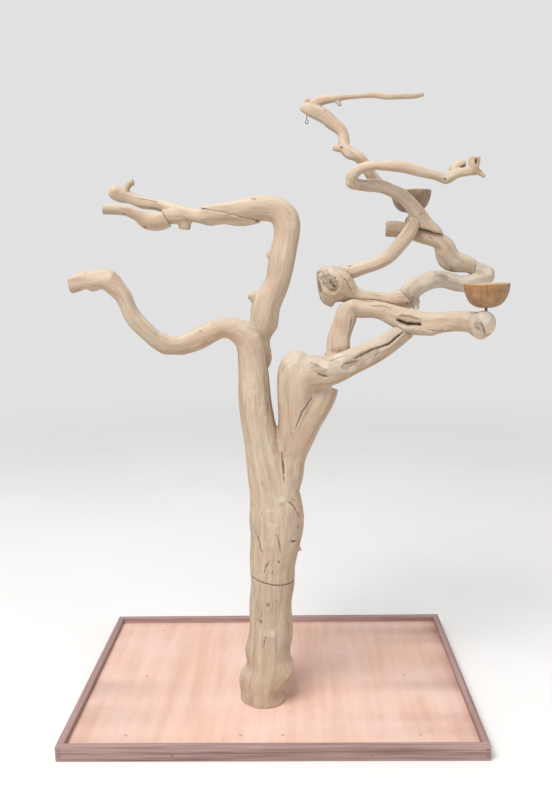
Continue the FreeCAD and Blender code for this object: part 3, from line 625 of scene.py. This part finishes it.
def keepSawCutFlat(points, above):
    middle = np.array(sawCut["middle"])
    outward = 1 if above else -1
    height = (points - middle) @ sawWay * outward
    level = sawCut["halfGap"] * mm
    shift = np.where(height < level + sawCut["skin"] * mm, level - height, 0)
    points = points + shift[:, None] * sawWay * outward
    off = points - middle
    along = off @ sawWay
    across = off - along[:, None] * sawWay
    radius = np.linalg.norm(across, axis=1)
    inBore = (radius < sawCut["boreReach"] * mm) & (np.abs(along) <= sawCut["boreDepth"] * mm)
    scale = np.where(inBore, sawCut["boreRadius"] * mm / np.maximum(radius, 1e-6), 1)
    return middle + along[:, None] * sawWay + across * scale[:, None]


def evenOut(mesh, points, share):
    # A few rounds smooth the whole skin, and more soften the forks where two limbs meet.
    edges = np.empty(len(mesh.edges) * 2, np.int32)
    mesh.edges.foreach_get("vertices", edges)
    edges = edges.reshape(-1, 2)
    count = np.bincount(edges.ravel(), minlength=len(points)).astype(float)
    everywhere = np.full(len(points), 0.5)
    atForks = np.where(share > 0.02, 0.25 + 0.7 * np.clip(share * 2, 0, 1), 0)
    for weight in [everywhere] * woodRelief["evenRounds"] + [atForks] * woodRelief["forkRounds"]:
        points += (neighbourMean(points, edges, count) - points) * weight[:, None]
    writePoints(mesh, points)


def onSurface(skin, pixels):
    # Where the sight lines through these pixels of the photograph first meet the wood.
    eye = Vector(photoCamera["place"])
    hits = [skin["tree"].ray_cast(eye, pixelWay(pixel))[0] for pixel in pixels]
    return [np.array(hit) for hit in hits if hit is not None]


def addCrack(skin, path, width, depth):
    # Width and depth are in millimetres. A ridge is a crack with a depth below zero.
    r, points, seed = woodRelief, skin["points"], skin["seed"]
    hits = onSurface(skin, path)
    if not hits:
        return
    distance, where = distanceToPath(points, hits)
    ragged = (r["crackWander"] * latticeNoise(points / (r["crackWanderSpan"] * mm), seed + 9)
              + r["crackFray"] * latticeNoise(points / (r["crackFraySpan"] * mm), seed + 11))
    distance += min(1, width / 9) * ragged * mm
    taper = 0.3 + 0.7 * np.sqrt(np.clip(np.sin(math.pi * where), 0, 1))
    reach = width * mm / 2 * taper * (1 + 0.35 * latticeNoise(points / (9 * mm), seed + 10))
    inside = np.clip(1 - distance / reach, 0, 1)
    lip = np.clip(1 - np.abs(distance / reach - 1.9), 0, 1)
    skin["height"] += (r["lip"] * depth * lip - depth * np.sqrt(inside)) * mm
    # Deeper cracks are painted darker inside: painted shade.
    tone = min(1.0, 0.3 + depth / 14) if depth > 0 else 0
    skin["hollow"] = np.maximum(skin["hollow"], tone * smoothStep(inside, 0.0, 0.7))
    skin["bleach"] = np.maximum(skin["bleach"], r["lipPaleness"] * lip)


def addBreak(skin, path, radius, depth):
    # Torn wood: chips came away, and dark stripes run along the grain. Deeper breaks are painted darker
    # too: painted shade on top of the torn wood's own colour.
    r, points, seed = woodRelief, skin["points"], skin["seed"]
    hits = onSurface(skin, path)
    if not hits:
        return
    away = distanceToPath(points, hits)[0] + 3 * mm * latticeNoise(points / (10 * mm), seed + 13)
    torn = smoothStep(1 - away / (radius * mm), 0, 0.4)
    chips = np.floor(2.5 * latticeNoise(points / (r["chipSize"] * mm), seed + 14)) / 2.5
    skin["height"] -= depth * torn * (0.8 + 0.5 * chips) * mm
    stripes = latticeNoise(alongGrain(skin["own"], r["stripeLength"], r["stripeWidth"]), seed + 15)
    tone = (0.14 + 0.045 * depth) * (0.9 + 0.4 * stripes)
    skin["hollow"] = np.maximum(skin["hollow"], torn * tone)


def addKnot(skin, pixel, radius, lift):
    hits = onSurface(skin, [pixel])
    if hits:
        away = distanceToPath(skin["points"], hits)[0]
        skin["height"] += lift * np.exp(-(away / (radius * mm)) ** 2) * mm


def addPaleSpot(skin, pixel, radius, strength):
    # A soft-edged patch of the pale colour round the spot; most spots sit on raised knots.
    hits = onSurface(skin, [pixel])
    if hits:
        points = skin["points"]
        away = distanceToPath(points, hits)[0]
        away += 5 * mm * latticeNoise(points / (14 * mm), skin["seed"] + 12)
        spread = 1 - smoothStep(away, radius * mm * 0.35, radius * mm)
        skin["bleach"] = np.maximum(skin["bleach"], strength * spread)


def addStrayKnots(skin, endGrain, number):
    # Small dead-branch knots stand here and there, also on the sides that the photograph hides.
    r, points = woodRelief, skin["points"]
    chance = np.random.RandomState(skin["seed"])
    for _ in range(number):
        spot = chance.randint(len(points))
        size = chance.uniform(5, 9) * mm
        if endGrain[spot] < 0.2:
            distance = np.linalg.norm(points - points[spot], axis=1)
            dip = np.exp(-(distance / (0.45 * size)) ** 2)
            skin["height"] += r["strayKnotRise"] * mm * np.exp(-(distance / (1.6 * size)) ** 2)
            skin["height"] -= r["strayKnotDip"] * mm * dip
            # The knot's dip is painted dark: painted shade.
            skin["hollow"] = np.maximum(skin["hollow"], r["strayKnotTone"] * dip)


def woodPiece(wood):
    settings = {**plainWood, **wood}
    seed = settings["seed"]
    mesh = surfaceCopy(settings["node"], settings["voxel"] * mm)
    points = readPoints(mesh)
    own, following, share, run = grainOf(points, settings["lines"])
    evenOut(mesh, points, share)
    normals = readPoints(mesh, "normal")
    endGrain = smoothStep(np.abs(np.sum(normals * run, axis=1)), 0.8, 0.95)

    height, cut = reliefOf(own, seed)
    otherHeight, otherCut = reliefOf(following, seed)
    height = height * (1 - share) + otherHeight * share
    cut = cut * (1 - share) + otherCut * share
    height = height * settings["rough"] * (1 - 0.7 * endGrain) - cut * woodRelief["splitDepth"] * mm
    tree = BVHTree.FromPolygons([Vector(p) for p in points], [tuple(f.vertices) for f in mesh.polygons])
    # The split grooves are painted dark: painted shade.
    skin = {"points": points, "own": own, "tree": tree, "seed": seed, "height": height,
            "hollow": woodRelief["splitTone"] * cut,
            "bleach": woodRelief["topWear"] * smoothStep(normals[:, 2], 0.1, 0.95)}   # tops are painted paler: painted top light
    for add, name in ((addCrack, "cracks"), (addBreak, "breaks"), (addKnot, "knots"),
                      (addPaleSpot, "bleached")):
        for feature in settings[name]:
            add(skin, *feature)
    addStrayKnots(skin, endGrain, settings["strayKnots"])

    points = points + normals * skin["height"][:, None]
    hollow = skin["hollow"]
    if settings["sawCut"]:
        points = keepSawCutFlat(points, settings["sawCut"] == "above")
        # The kerf line is painted dark: painted shade in the saw cut.
        level = np.abs((points - np.array(sawCut["middle"])) @ sawWay)
        hollow = np.maximum(hollow, sawCut["kerfTone"] * (1 - smoothStep(level, 1.2 * mm, 3.2 * mm)))
    if settings["standsOnBoard"]:
        points[:, 2] = np.where(points[:, 2] < trunkFoot.z + 1.5 * mm, trunkFoot.z, points[:, 2])
    writePoints(mesh, points)
    for name, values in (("grainOwn", own), ("grainNext", following), ("grainShare", share),
                         ("endGrain", endGrain), ("hollow", hollow), ("bleach", skin["bleach"])):
        keepValue(mesh, name, values)
    newPiece(settings["name"], mesh, settings["body"], settings["material"],
             settings["node"])
    print(settings["name"], len(mesh.vertices), "points")


# Cracks, breaks, knots and pale spots are given in the photograph's pixels: a path, a width and
# a depth; a path, a radius and a depth; a spot, a radius and a lift; a spot, a radius and a strength.
plainWood = {"body": "crown", "material": driftwood, "slot": "driftwood", "rough": 1.0, "strayKnots": 0,
             "cracks": [], "breaks": [], "knots": [], "bleached": [], "sawCut": "", "standsOnBoard": False}
baseTrunkWood = {
    "name": "baseTrunkWood", "node": "base_trunk", "body": "base", "voxel": 2.4, "seed": 11,
    "lines": [trunkLine], "sawCut": "below", "standsOnBoard": True, "strayKnots": 6,
    "cracks": [
        ([(264.6, 640), (263.4, 648)], 5, 3), ([(268, 603), (268.8, 607)], 9, 4),
        ([(260, 621), (260.8, 624)], 8, 3), ([(276.6, 600.5), (277, 601.5)], 5, 3),
        ([(284, 690), (281.4, 700), (280.6, 712)], 5, 3), ([(262, 612), (261, 618)], 4, 2)],
    "breaks": [([(268, 605)], 12, 2), ([(260.5, 622)], 11, 2), ([(283, 690), (281, 706)], 10, 2)],
    "knots": [((268.5, 606), 16, 2), ((291, 672), 14, 5), ((273, 634), 13, 3), ((250, 700), 12, 2)],
    "bleached": [((273, 635), 14, 0.5), ((288, 676), 12, 0.45), ((258, 700), 22, 0.35)]}
crownTrunkWood = {
    "name": "crownTrunkWood", "node": "crown_trunk", "voxel": 2.4, "seed": 23, "sawCut": "above",
    "strayKnots": 12,
    "lines": [trunkLine, rightLimbLine, crackedBranchLine, sawnStubLine],
    "cracks": [
        ([(255, 531), (259, 540), (260.6, 550), (263, 553)], 7, 5),
        ([(277, 535), (279.4, 544), (280.6, 554)], 6, 4), ([(252.6, 560), (253, 552)], 5, 3),
        ([(263.4, 574), (266, 566), (270, 561)], 5, 3.5), ([(272, 575), (273, 570)], 4, 3),
        ([(278, 561), (280, 563.6)], 6, 5), ([(281.5, 452), (283.4, 466), (284.4, 482)], 6, 5),
        ([(287, 501), (293, 505), (299, 515), (302.5, 528)], 6, 4),
        ([(291, 541.5), (297, 541), (302, 542)], 7, 6),
        ([(335, 386), (321, 389), (311, 398), (303, 410), (299, 420), (295, 430)], 6, 5),
        ([(403, 332), (396, 338), (389, 344), (380, 347), (371.5, 349)], 8, 8),
        ([(372.5, 348.5), (362.5, 354), (355, 358.5)], 9, 6),
        ([(357, 361), (350, 362.5), (344.5, 364)], 8, 5),
        ([(350, 368.5), (362.5, 361), (380, 351.5), (392, 346)], 7, -3),
        ([(336, 362.5), (345, 358), (352, 354)], 6, -2.5), ([(318, 374), (323, 376), (328, 377)], 7, 5),
        ([(330, 361), (341, 357), (347, 355)], 5, 3), ([(309, 362), (318, 366), (327, 371)], 5, 3)],
    "breaks": [
        ([(346, 366), (362, 357), (378, 350)], 15, 5), ([(300, 541)], 13, 4),
        ([(314, 368), (324, 373)], 12, 3)],
    "knots": [
        ((281, 501), 14, 5), ((298, 548.5), 7, 12), ((239.5, 422), 6, 7), ((122, 278), 22, 3),
        ((320, 360), 15, 5), ((336, 356), 12, 4), ((347, 371), 14, 4), ((295, 352), 20, 3)],
    "bleached": [
        ((281, 500), 14, 0.6), ((288, 505), 10, 0.5), ((299, 548), 12, 0.35), ((340, 357), 26, 0.8),
        ((324, 364), 22, 0.7), ((352, 369), 16, 0.6), ((368, 361), 14, 0.5)]}
tallLimbWood = {
    "name": "tallLimbWood", "node": "tall_limb", "voxel": 2.0, "seed": 37, "strayKnots": 4,
    "lines": [tallLimbLine, tallLimbKnobLine, lowKnobLine],
    "cracks": [
        ([(251, 198), (256, 199)], 7, 3), ([(268.4, 262), (270.5, 268)], 5, 4),
        ([(205, 211), (214, 214.5), (226, 216.5)], 5, 3)],
    "knots": [((269.5, 256), 6, 4), ((291, 224), 12, 2)],
    "bleached": [((292, 226), 16, 0.5), ((246, 196), 18, 0.4)]}
upperLeftWood = {
    "name": "upperLeftPerchWood", "node": "upper_left_perch", "voxel": 1.8, "seed": 41, "strayKnots": 3,
    "lines": [upperLeftLine, upperLeftCutLine, upperLeftStubLine, upperLeftHookLine],
    "cracks": [([(137, 198), (148, 200), (158, 202)], 5, 3)], "knots": [((115, 190), 8, 3)]}
lowerLeftWood = {
    "name": "lowerLeftPerchWood", "node": "lower_left_perch", "voxel": 1.8, "seed": 43,
    "lines": [lowerLeftLine], "strayKnots": 1, "cracks": [([(122.6, 213.6), (125, 214.6)], 5, 6)]}
frontPerchWood = {
    "name": "frontPerchWood", "node": "column_perch", "voxel": 2.0, "seed": 53,
    "lines": [frontPerchLine], "strayKnots": 3,
    "cracks": [
        ([(396, 319.5), (402, 323), (411, 324.5), (421, 324.5)], 15, 13),
        ([(398, 316), (410, 316), (418, 319)], 6, 4), ([(352, 318), (350, 330), (349, 338)], 6, 4),
        ([(428, 329), (440, 331), (452, 330)], 5, 3), ([(481, 322), (484, 328), (486, 336)], 5, 4),
        ([(476, 327), (481, 330)], 5, 3), ([(371, 306), (384, 306), (392, 309)], 5, 3)],
    "breaks": [([(400, 320), (418, 322)], 15, 3), ([(478, 326), (486, 336)], 12, 2)],
    "knots": [
        ((430, 333), 14, 5), ((447, 330), 9, 4), ((461, 318), 12, 3), ((412, 312), 12, 4),
        ((352, 303), 12, 3), ((405, 329), 10, 3)],
    "bleached": [((485, 317), 24, 0.85), ((352, 303), 14, 0.45), ((400, 314), 14, 0.3)]}
stumpWood = {
    "name": "stumpWood", "node": "stump_branch", "voxel": 2.0, "seed": 61, "lines": [stumpLine],
    "strayKnots": 3, "rough": 1.4,
    "cracks": [
        ([(340, 276), (348, 284), (352, 292)], 5, 4), ([(401, 289), (408, 294), (413, 303)], 7, 6),
        ([(360, 299), (376, 300), (394, 304)], 5, 3), ([(329.5, 281), (333, 285), (336.5, 288)], 7, 7),
        ([(334, 277), (336, 279)], 6, 5), ([(337, 272), (345, 279), (352, 285)], 4, 3),
        ([(362, 292), (378, 295), (392, 297)], 4, 2)],
    "breaks": [
        ([(325, 279), (330, 283), (334, 286)], 22, 8), ([(321, 290)], 13, 5),
        ([(318, 273), (326, 272)], 8, 5)],
    "knots": [((331, 269), 13, 5), ((347, 272), 11, 4), ((341, 284), 12, 4), ((403, 283), 14, 4)],
    "bleached": [
        ((328, 271), 14, 0.5), ((345, 276), 14, 0.4), ((402, 284), 16, 0.4), ((351, 285), 12, 0.3)]}
archWood = {
    "name": "archWood", "node": "arch_branch", "material": greyDriftwood, "slot": "driftwood_grey",
    "voxel": 1.9, "seed": 67, "lines": [archLine, archKnobLine], "strayKnots": 2,
    "cracks": [([(436, 275), (446, 277.5)], 8, 2.5), ([(414, 293), (418, 301)], 5, 4)],
    "knots": [((441, 274), 10, 2), ((490, 274), 12, 3)], "breaks": [([(438, 274), (446, 277)], 14, 2)],
    "bleached": [((425, 279), 30, 0.35), ((488, 270), 22, 0.45), ((463, 280), 20, 0.3)]}
shoulderWood = {
    "name": "shoulderWood", "node": "shoulder_branch", "voxel": 1.9, "seed": 71,
    "lines": [shoulderLine], "strayKnots": 2,
    "cracks": [
        ([(439, 254), (441, 257)], 6, 3), ([(394.6, 223.4), (395.6, 224.6)], 6, 6),
        ([(428, 236), (434, 240)], 5, 3)],
    "knots": [((440, 255), 11, 3), ((389, 223), 8, 2)],
    "bleached": [((388, 224), 10, 0.5), ((455, 262), 18, 0.35)]}
propWood = {
    "name": "propWood", "node": "curved_prop", "voxel": 1.8, "seed": 73, "lines": [propLine],
    "strayKnots": 2, "cracks": [([(347, 271), (349, 273)], 5, 3)], "knots": [((347.5, 272.5), 8, 2)]}
upperBranchWood = {
    "name": "upperBranchWood", "node": "upper_branch", "voxel": 1.7, "seed": 79, "strayKnots": 4,
    "rough": 0.7,
    "lines": [upperBranchLine, rightPerchLine, topLimbLine, topTwigLine, bowlKnobLine, *topStubLines,
              *perchStubLines],
    "cracks": [
        ([(380, 176), (386, 182), (392, 185)], 5, 3), ([(402, 187), (407, 193)], 5, 3),
        ([(320.8, 106), (326, 112)], 5, 5), ([(476, 159), (477, 164)], 13, 7),
        ([(444, 178.5), (446, 180)], 6, 4), ([(304, 100.5), (309, 100.5)], 12, 3),
        ([(340.5, 147), (343, 149)], 8, 4), ([(461, 167.5), (465, 166.5)], 8, 4)],
    "knots": [((446, 181), 8, 4), ((339, 149), 9, 4), ((349, 147), 6, 3)],
    "bleached": [((477, 166), 6, 0.5)]}

for wood in (baseTrunkWood, crownTrunkWood, tallLimbWood, upperLeftWood, lowerLeftWood, frontPerchWood,
             stumpWood, archWood, shoulderWood, propWood, upperBranchWood):
    woodPiece(wood)
print("driftwood done")


# Tray
trayTimber = {"railEdge": 1.6, "boardEdge": 0.3, "battenEdge": 0.8, "cutEvery": 18, "wear": 0.5,
              "wearSpan": 60, "screwClearance": 0.15}


def timberPiece(name, node, run, material, edgeRadius):
    # run is the axis that the grain runs along.
    low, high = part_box(node)
    # The screw heads end level with the CAD faces, so the timber stays just below them.
    flush = Vector([trayTimber["screwClearance"] * mm] * 3)
    low, high = low + flush, high - flush
    size = high - low
    work = bmesh.new()
    bmesh.ops.create_cube(work, size=1.0)
    for vert in work.verts:
        vert.co = Vector(low[i] + (vert.co[i] + 0.5) * size[i] for i in range(3))
    longEdges = [e for e in work.edges if abs((e.verts[0].co - e.verts[1].co)[run]) > size[run] * 0.9]
    bmesh.ops.subdivide_edges(work, edges=longEdges, cuts=int(size[run] / (trayTimber["cutEvery"] * mm)),
                              use_grid_fill=True)
    sharp = [e for e in work.edges if len(e.link_faces) == 2 and e.calc_face_angle(0) > 1]
    bmesh.ops.bevel(work, geom=sharp, offset=edgeRadius * mm, segments=3, profile=0.5, affect="EDGES")
    mesh = bpy.data.meshes.new(name)
    work.to_mesh(mesh)
    work.free()
    points = readPoints(mesh)
    normals = readPoints(mesh, "normal")
    slant = 1 - np.max(np.abs(normals), axis=1)
    wornEdge = smoothStep(slant, 0.05, 0.3)
    dents = latticeNoise(points / (trayTimber["wearSpan"] * mm), 5)
    inward = np.where(wornEdge > 0.2, -np.abs(dents) * trayTimber["wear"] * mm, 0)
    writePoints(mesh, points + normals * inward[:, None])
    order = [run] + [axis for axis in range(3) if axis != run]
    offset = np.array([sum(ord(letter) for letter in node) * 0.37, 0, 0])
    keepValue(mesh, "grainOwn", points[:, order] + offset)
    worn = smoothStep(latticeNoise(points / (45 * mm), 8), -0.5, 0.6)
    keepValue(mesh, "wornEdge", wornEdge * worn * 0.7)
    newPiece(name, mesh, "base", material, node)


for name, node, run in (("frontRailTimber", "front_rail", 0), ("backRailTimber", "back_rail", 0),
                        ("leftRailTimber", "left_rail", 1), ("rightRailTimber", "right_rail", 1)):
    timberPiece(name, node, run, stainedRail, trayTimber["railEdge"])
timberPiece("trayBoardPly", "tray_board", 1, boardVeneer, trayTimber["boardEdge"])
for name, node in (("leftBattenTimber", "left_batten"), ("middleBattenTimber", "middle_batten"),
                   ("rightBattenTimber", "right_batten")):
    timberPiece(name, node, 1, planedBatten, trayTimber["battenEdge"])
print("tray done")


# Bowls
# The shell's section follows the CAD bowl: a flat of flatRadius, then a curve up to the rim.
coconutBowl = {"rimRadius": 60, "rimRound": 1.2, "depth": 64, "wall": 5, "flatRadius": 11,
               "holeRadius": 2.6, "turns": 128, "rows": 26, "outOfRound": 0.5, "fibre": 0.18,
               "fibreLength": 30, "fibreWidth": 1.6}


def bowlOutline(inset):
    b = coconutBowl
    rows = []
    for k in range(b["rows"] + 1):
        angle = math.pi / 2 * k / b["rows"]
        across = b["flatRadius"] + (b["rimRadius"] - inset - b["flatRadius"]) * math.sin(angle) ** 0.92
        rows.append((across, inset + (b["depth"] - inset) * (1 - math.cos(angle)) ** 1.05))
    return rows


def bowlPiece(name, node, body, material, turn):
    b = coconutBowl
    low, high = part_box(node)
    centre = Vector(((low.x + high.x) / 2, (low.y + high.y) / 2, low.z))
    outer, inner = bowlOutline(0), bowlOutline(b["wall"])
    middle = b["rimRadius"] - b["wall"] / 2
    rim = [(middle + b["wall"] / 2 * math.cos(a) * 0.98, b["depth"] + b["rimRound"] * (math.sin(a) - 1))
           for a in (math.pi * k / 6 for k in range(1, 6))]
    section = [(b["holeRadius"], 0)] + outer[:-1] + rim + inner[:-1][::-1] + [(b["holeRadius"], b["wall"])]
    work = bmesh.new()
    rings = []
    for across, up in section:
        ring = []
        for k in range(b["turns"]):
            angle = 2 * math.pi * k / b["turns"] + turn
            wander = b["outOfRound"] * math.cos(3 * angle + turn) * (across / b["rimRadius"]) ** 2
            if across <= b["flatRadius"] + 1:
                wander = 0
            reach = (across + wander - 0.5 * (across > 50)) * mm
            corner = Vector((reach * math.cos(angle), reach * math.sin(angle), up * mm))
            ring.append(work.verts.new(centre + corner))
        rings.append(ring)
    for a, c in zip(rings, rings[1:] + rings[:1]):
        for k in range(b["turns"]):
            work.faces.new((a[k - 1], a[k], c[k], c[k - 1]))
    bmesh.ops.recalc_face_normals(work, faces=work.faces)
    mesh = bpy.data.meshes.new(name)
    work.to_mesh(mesh)
    work.free()
    points = readPoints(mesh)
    normals = readPoints(mesh, "normal")
    off = points - np.array(centre)
    radius = np.linalg.norm(off[:, :2], axis=1)
    angle = np.arctan2(off[:, 1], off[:, 0])
    meridian = np.stack([off[:, 2] + radius * 0.4, np.cos(angle) * 0.05, np.sin(angle) * 0.05], axis=1)
    lines = latticeNoise(alongGrain(meridian, b["fibreLength"], b["fibreWidth"]), 17)
    shift = np.where(radius > 14 * mm, lines * b["fibre"] * mm, 0)
    writePoints(mesh, points + normals * shift[:, None])
    inward = np.sum(normals[:, :2] * off[:, :2], axis=1) < 0
    keepValue(mesh, "grainOwn", meridian)
    keepValue(mesh, "shellInside", np.where(inward, 0.8, 0.0))
    keepValue(mesh, "shellRim", smoothStep(off[:, 2], 62.6 * mm, 63.6 * mm) * 0.9)
    newPiece(name, mesh, body, material, node)


bowlPiece("frontBowlShell", "bowl_front", "bowl_front", lightShell, 0.3)
bowlPiece("backBowlShell", "bowl_back", "bowl_back", darkShell, 1.2)
print("bowls done")


# Metal and the spigot
keptMeshes = {"trunk_screws": zincSteel, "trunk_washers": zincSteel, "bowl_screws": zincSteel,
              "bowl_washers": zincSteel, "bowl_standoffs": wireSteel, "rail_screws": stainedScrew,
              "board_screws": dustyScrew, "branch_screws": zincSteel, "screw_eye": wireSteel,
              "spigot_rod": turnedBeech}
for node, material in keptMeshes.items():
    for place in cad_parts[node].material_slots:
        place.material = material
print("metal and spigot done")


# Floor and light
studio = {"floor": "#f6f5f4", "floorPatch": "#eeecea", "floorHalf": 30, "fadeFrom": 2.2, "fadeTo": 6.0,
          "world": "#ececec", "seenStrength": 0.9, "lightStrength": 0.66, "aimHeight": 0.9,
          "keyPlace": (-2.0, -3.0, 5.8), "keySize": 3.4, "keyPower": 350,
          "fillPlace": (3.0, -1.5, 2.0), "fillSize": 2.5, "fillPower": 14}


def makeStudio():
    mesh = bpy.data.meshes.new("studioFloor")
    half = studio["floorHalf"]
    corners = [(-half, -half, 0), (half, -half, 0), (half, half, 0), (-half, half, 0)]
    mesh.from_pydata(corners, [], [(0, 1, 2, 3)])
    floor = bpy.data.objects.new("studioFloor", mesh)
    bpy.context.scene.collection.objects.link(floor)
    material, tree = newMaterial("paleFloor")
    place = objectPlace(tree)
    colour = blend(tree, grainNoise(tree, place, 900, 900, 2.0), studio["floor"], studio["floorPatch"])
    matt = addNode(tree, "BsdfPrincipled", {"Roughness": 0.9, "Specular IOR Level": 0.1},
                   {"Base Color": colour})
    # Far out the floor fades away, so that no horizon line stands behind the branches.
    reach = addNode(tree, "VectorMath", {"operation": "LENGTH"}, {0: place})
    fade = addNode(tree, "MapRange",
                   {"interpolation_type": "SMOOTHSTEP", "From Min": studio["fadeFrom"],
                    "From Max": studio["fadeTo"]}, {"Value": reach.outputs["Value"]})
    clear = addNode(tree, "BsdfTransparent")
    both = addNode(tree, "MixShader", {},
                   {0: fade.outputs[0], 1: matt.outputs[0], 2: clear.outputs[0]})
    addNode(tree, "OutputMaterial", {}, {"Surface": both.outputs[0]})
    mesh.materials.append(material)
    world = bpy.data.worlds.new("studioWorld")
    bpy.context.scene.world = world
    world.use_nodes = True
    background = world.node_tree.nodes["Background"]
    background.inputs["Color"].default_value = linear(studio["world"])
    path = addNode(world.node_tree, "LightPath")
    strength = addNode(world.node_tree, "Mix",
                       {"data_type": "FLOAT", 2: studio["lightStrength"], 3: studio["seenStrength"]},
                       {0: path.outputs["Is Camera Ray"]})
    world.node_tree.links.new(strength.outputs[0], background.inputs["Strength"])
    for name in ("key", "fill"):
        lamp = bpy.data.lights.new(name + "Light", "AREA")
        lamp.size = studio[name + "Size"]
        lamp.energy = studio[name + "Power"]
        light = bpy.data.objects.new(name + "Light", lamp)
        bpy.context.scene.collection.objects.link(light)
        light.location = studio[name + "Place"]
        aim = Vector((0, 0, studio["aimHeight"])) - light.location
        light.rotation_euler = aim.to_track_quat("-Z", "Y").to_euler()
    bpy.context.scene.view_settings.view_transform = "Standard"


makeStudio()
print("studio done")
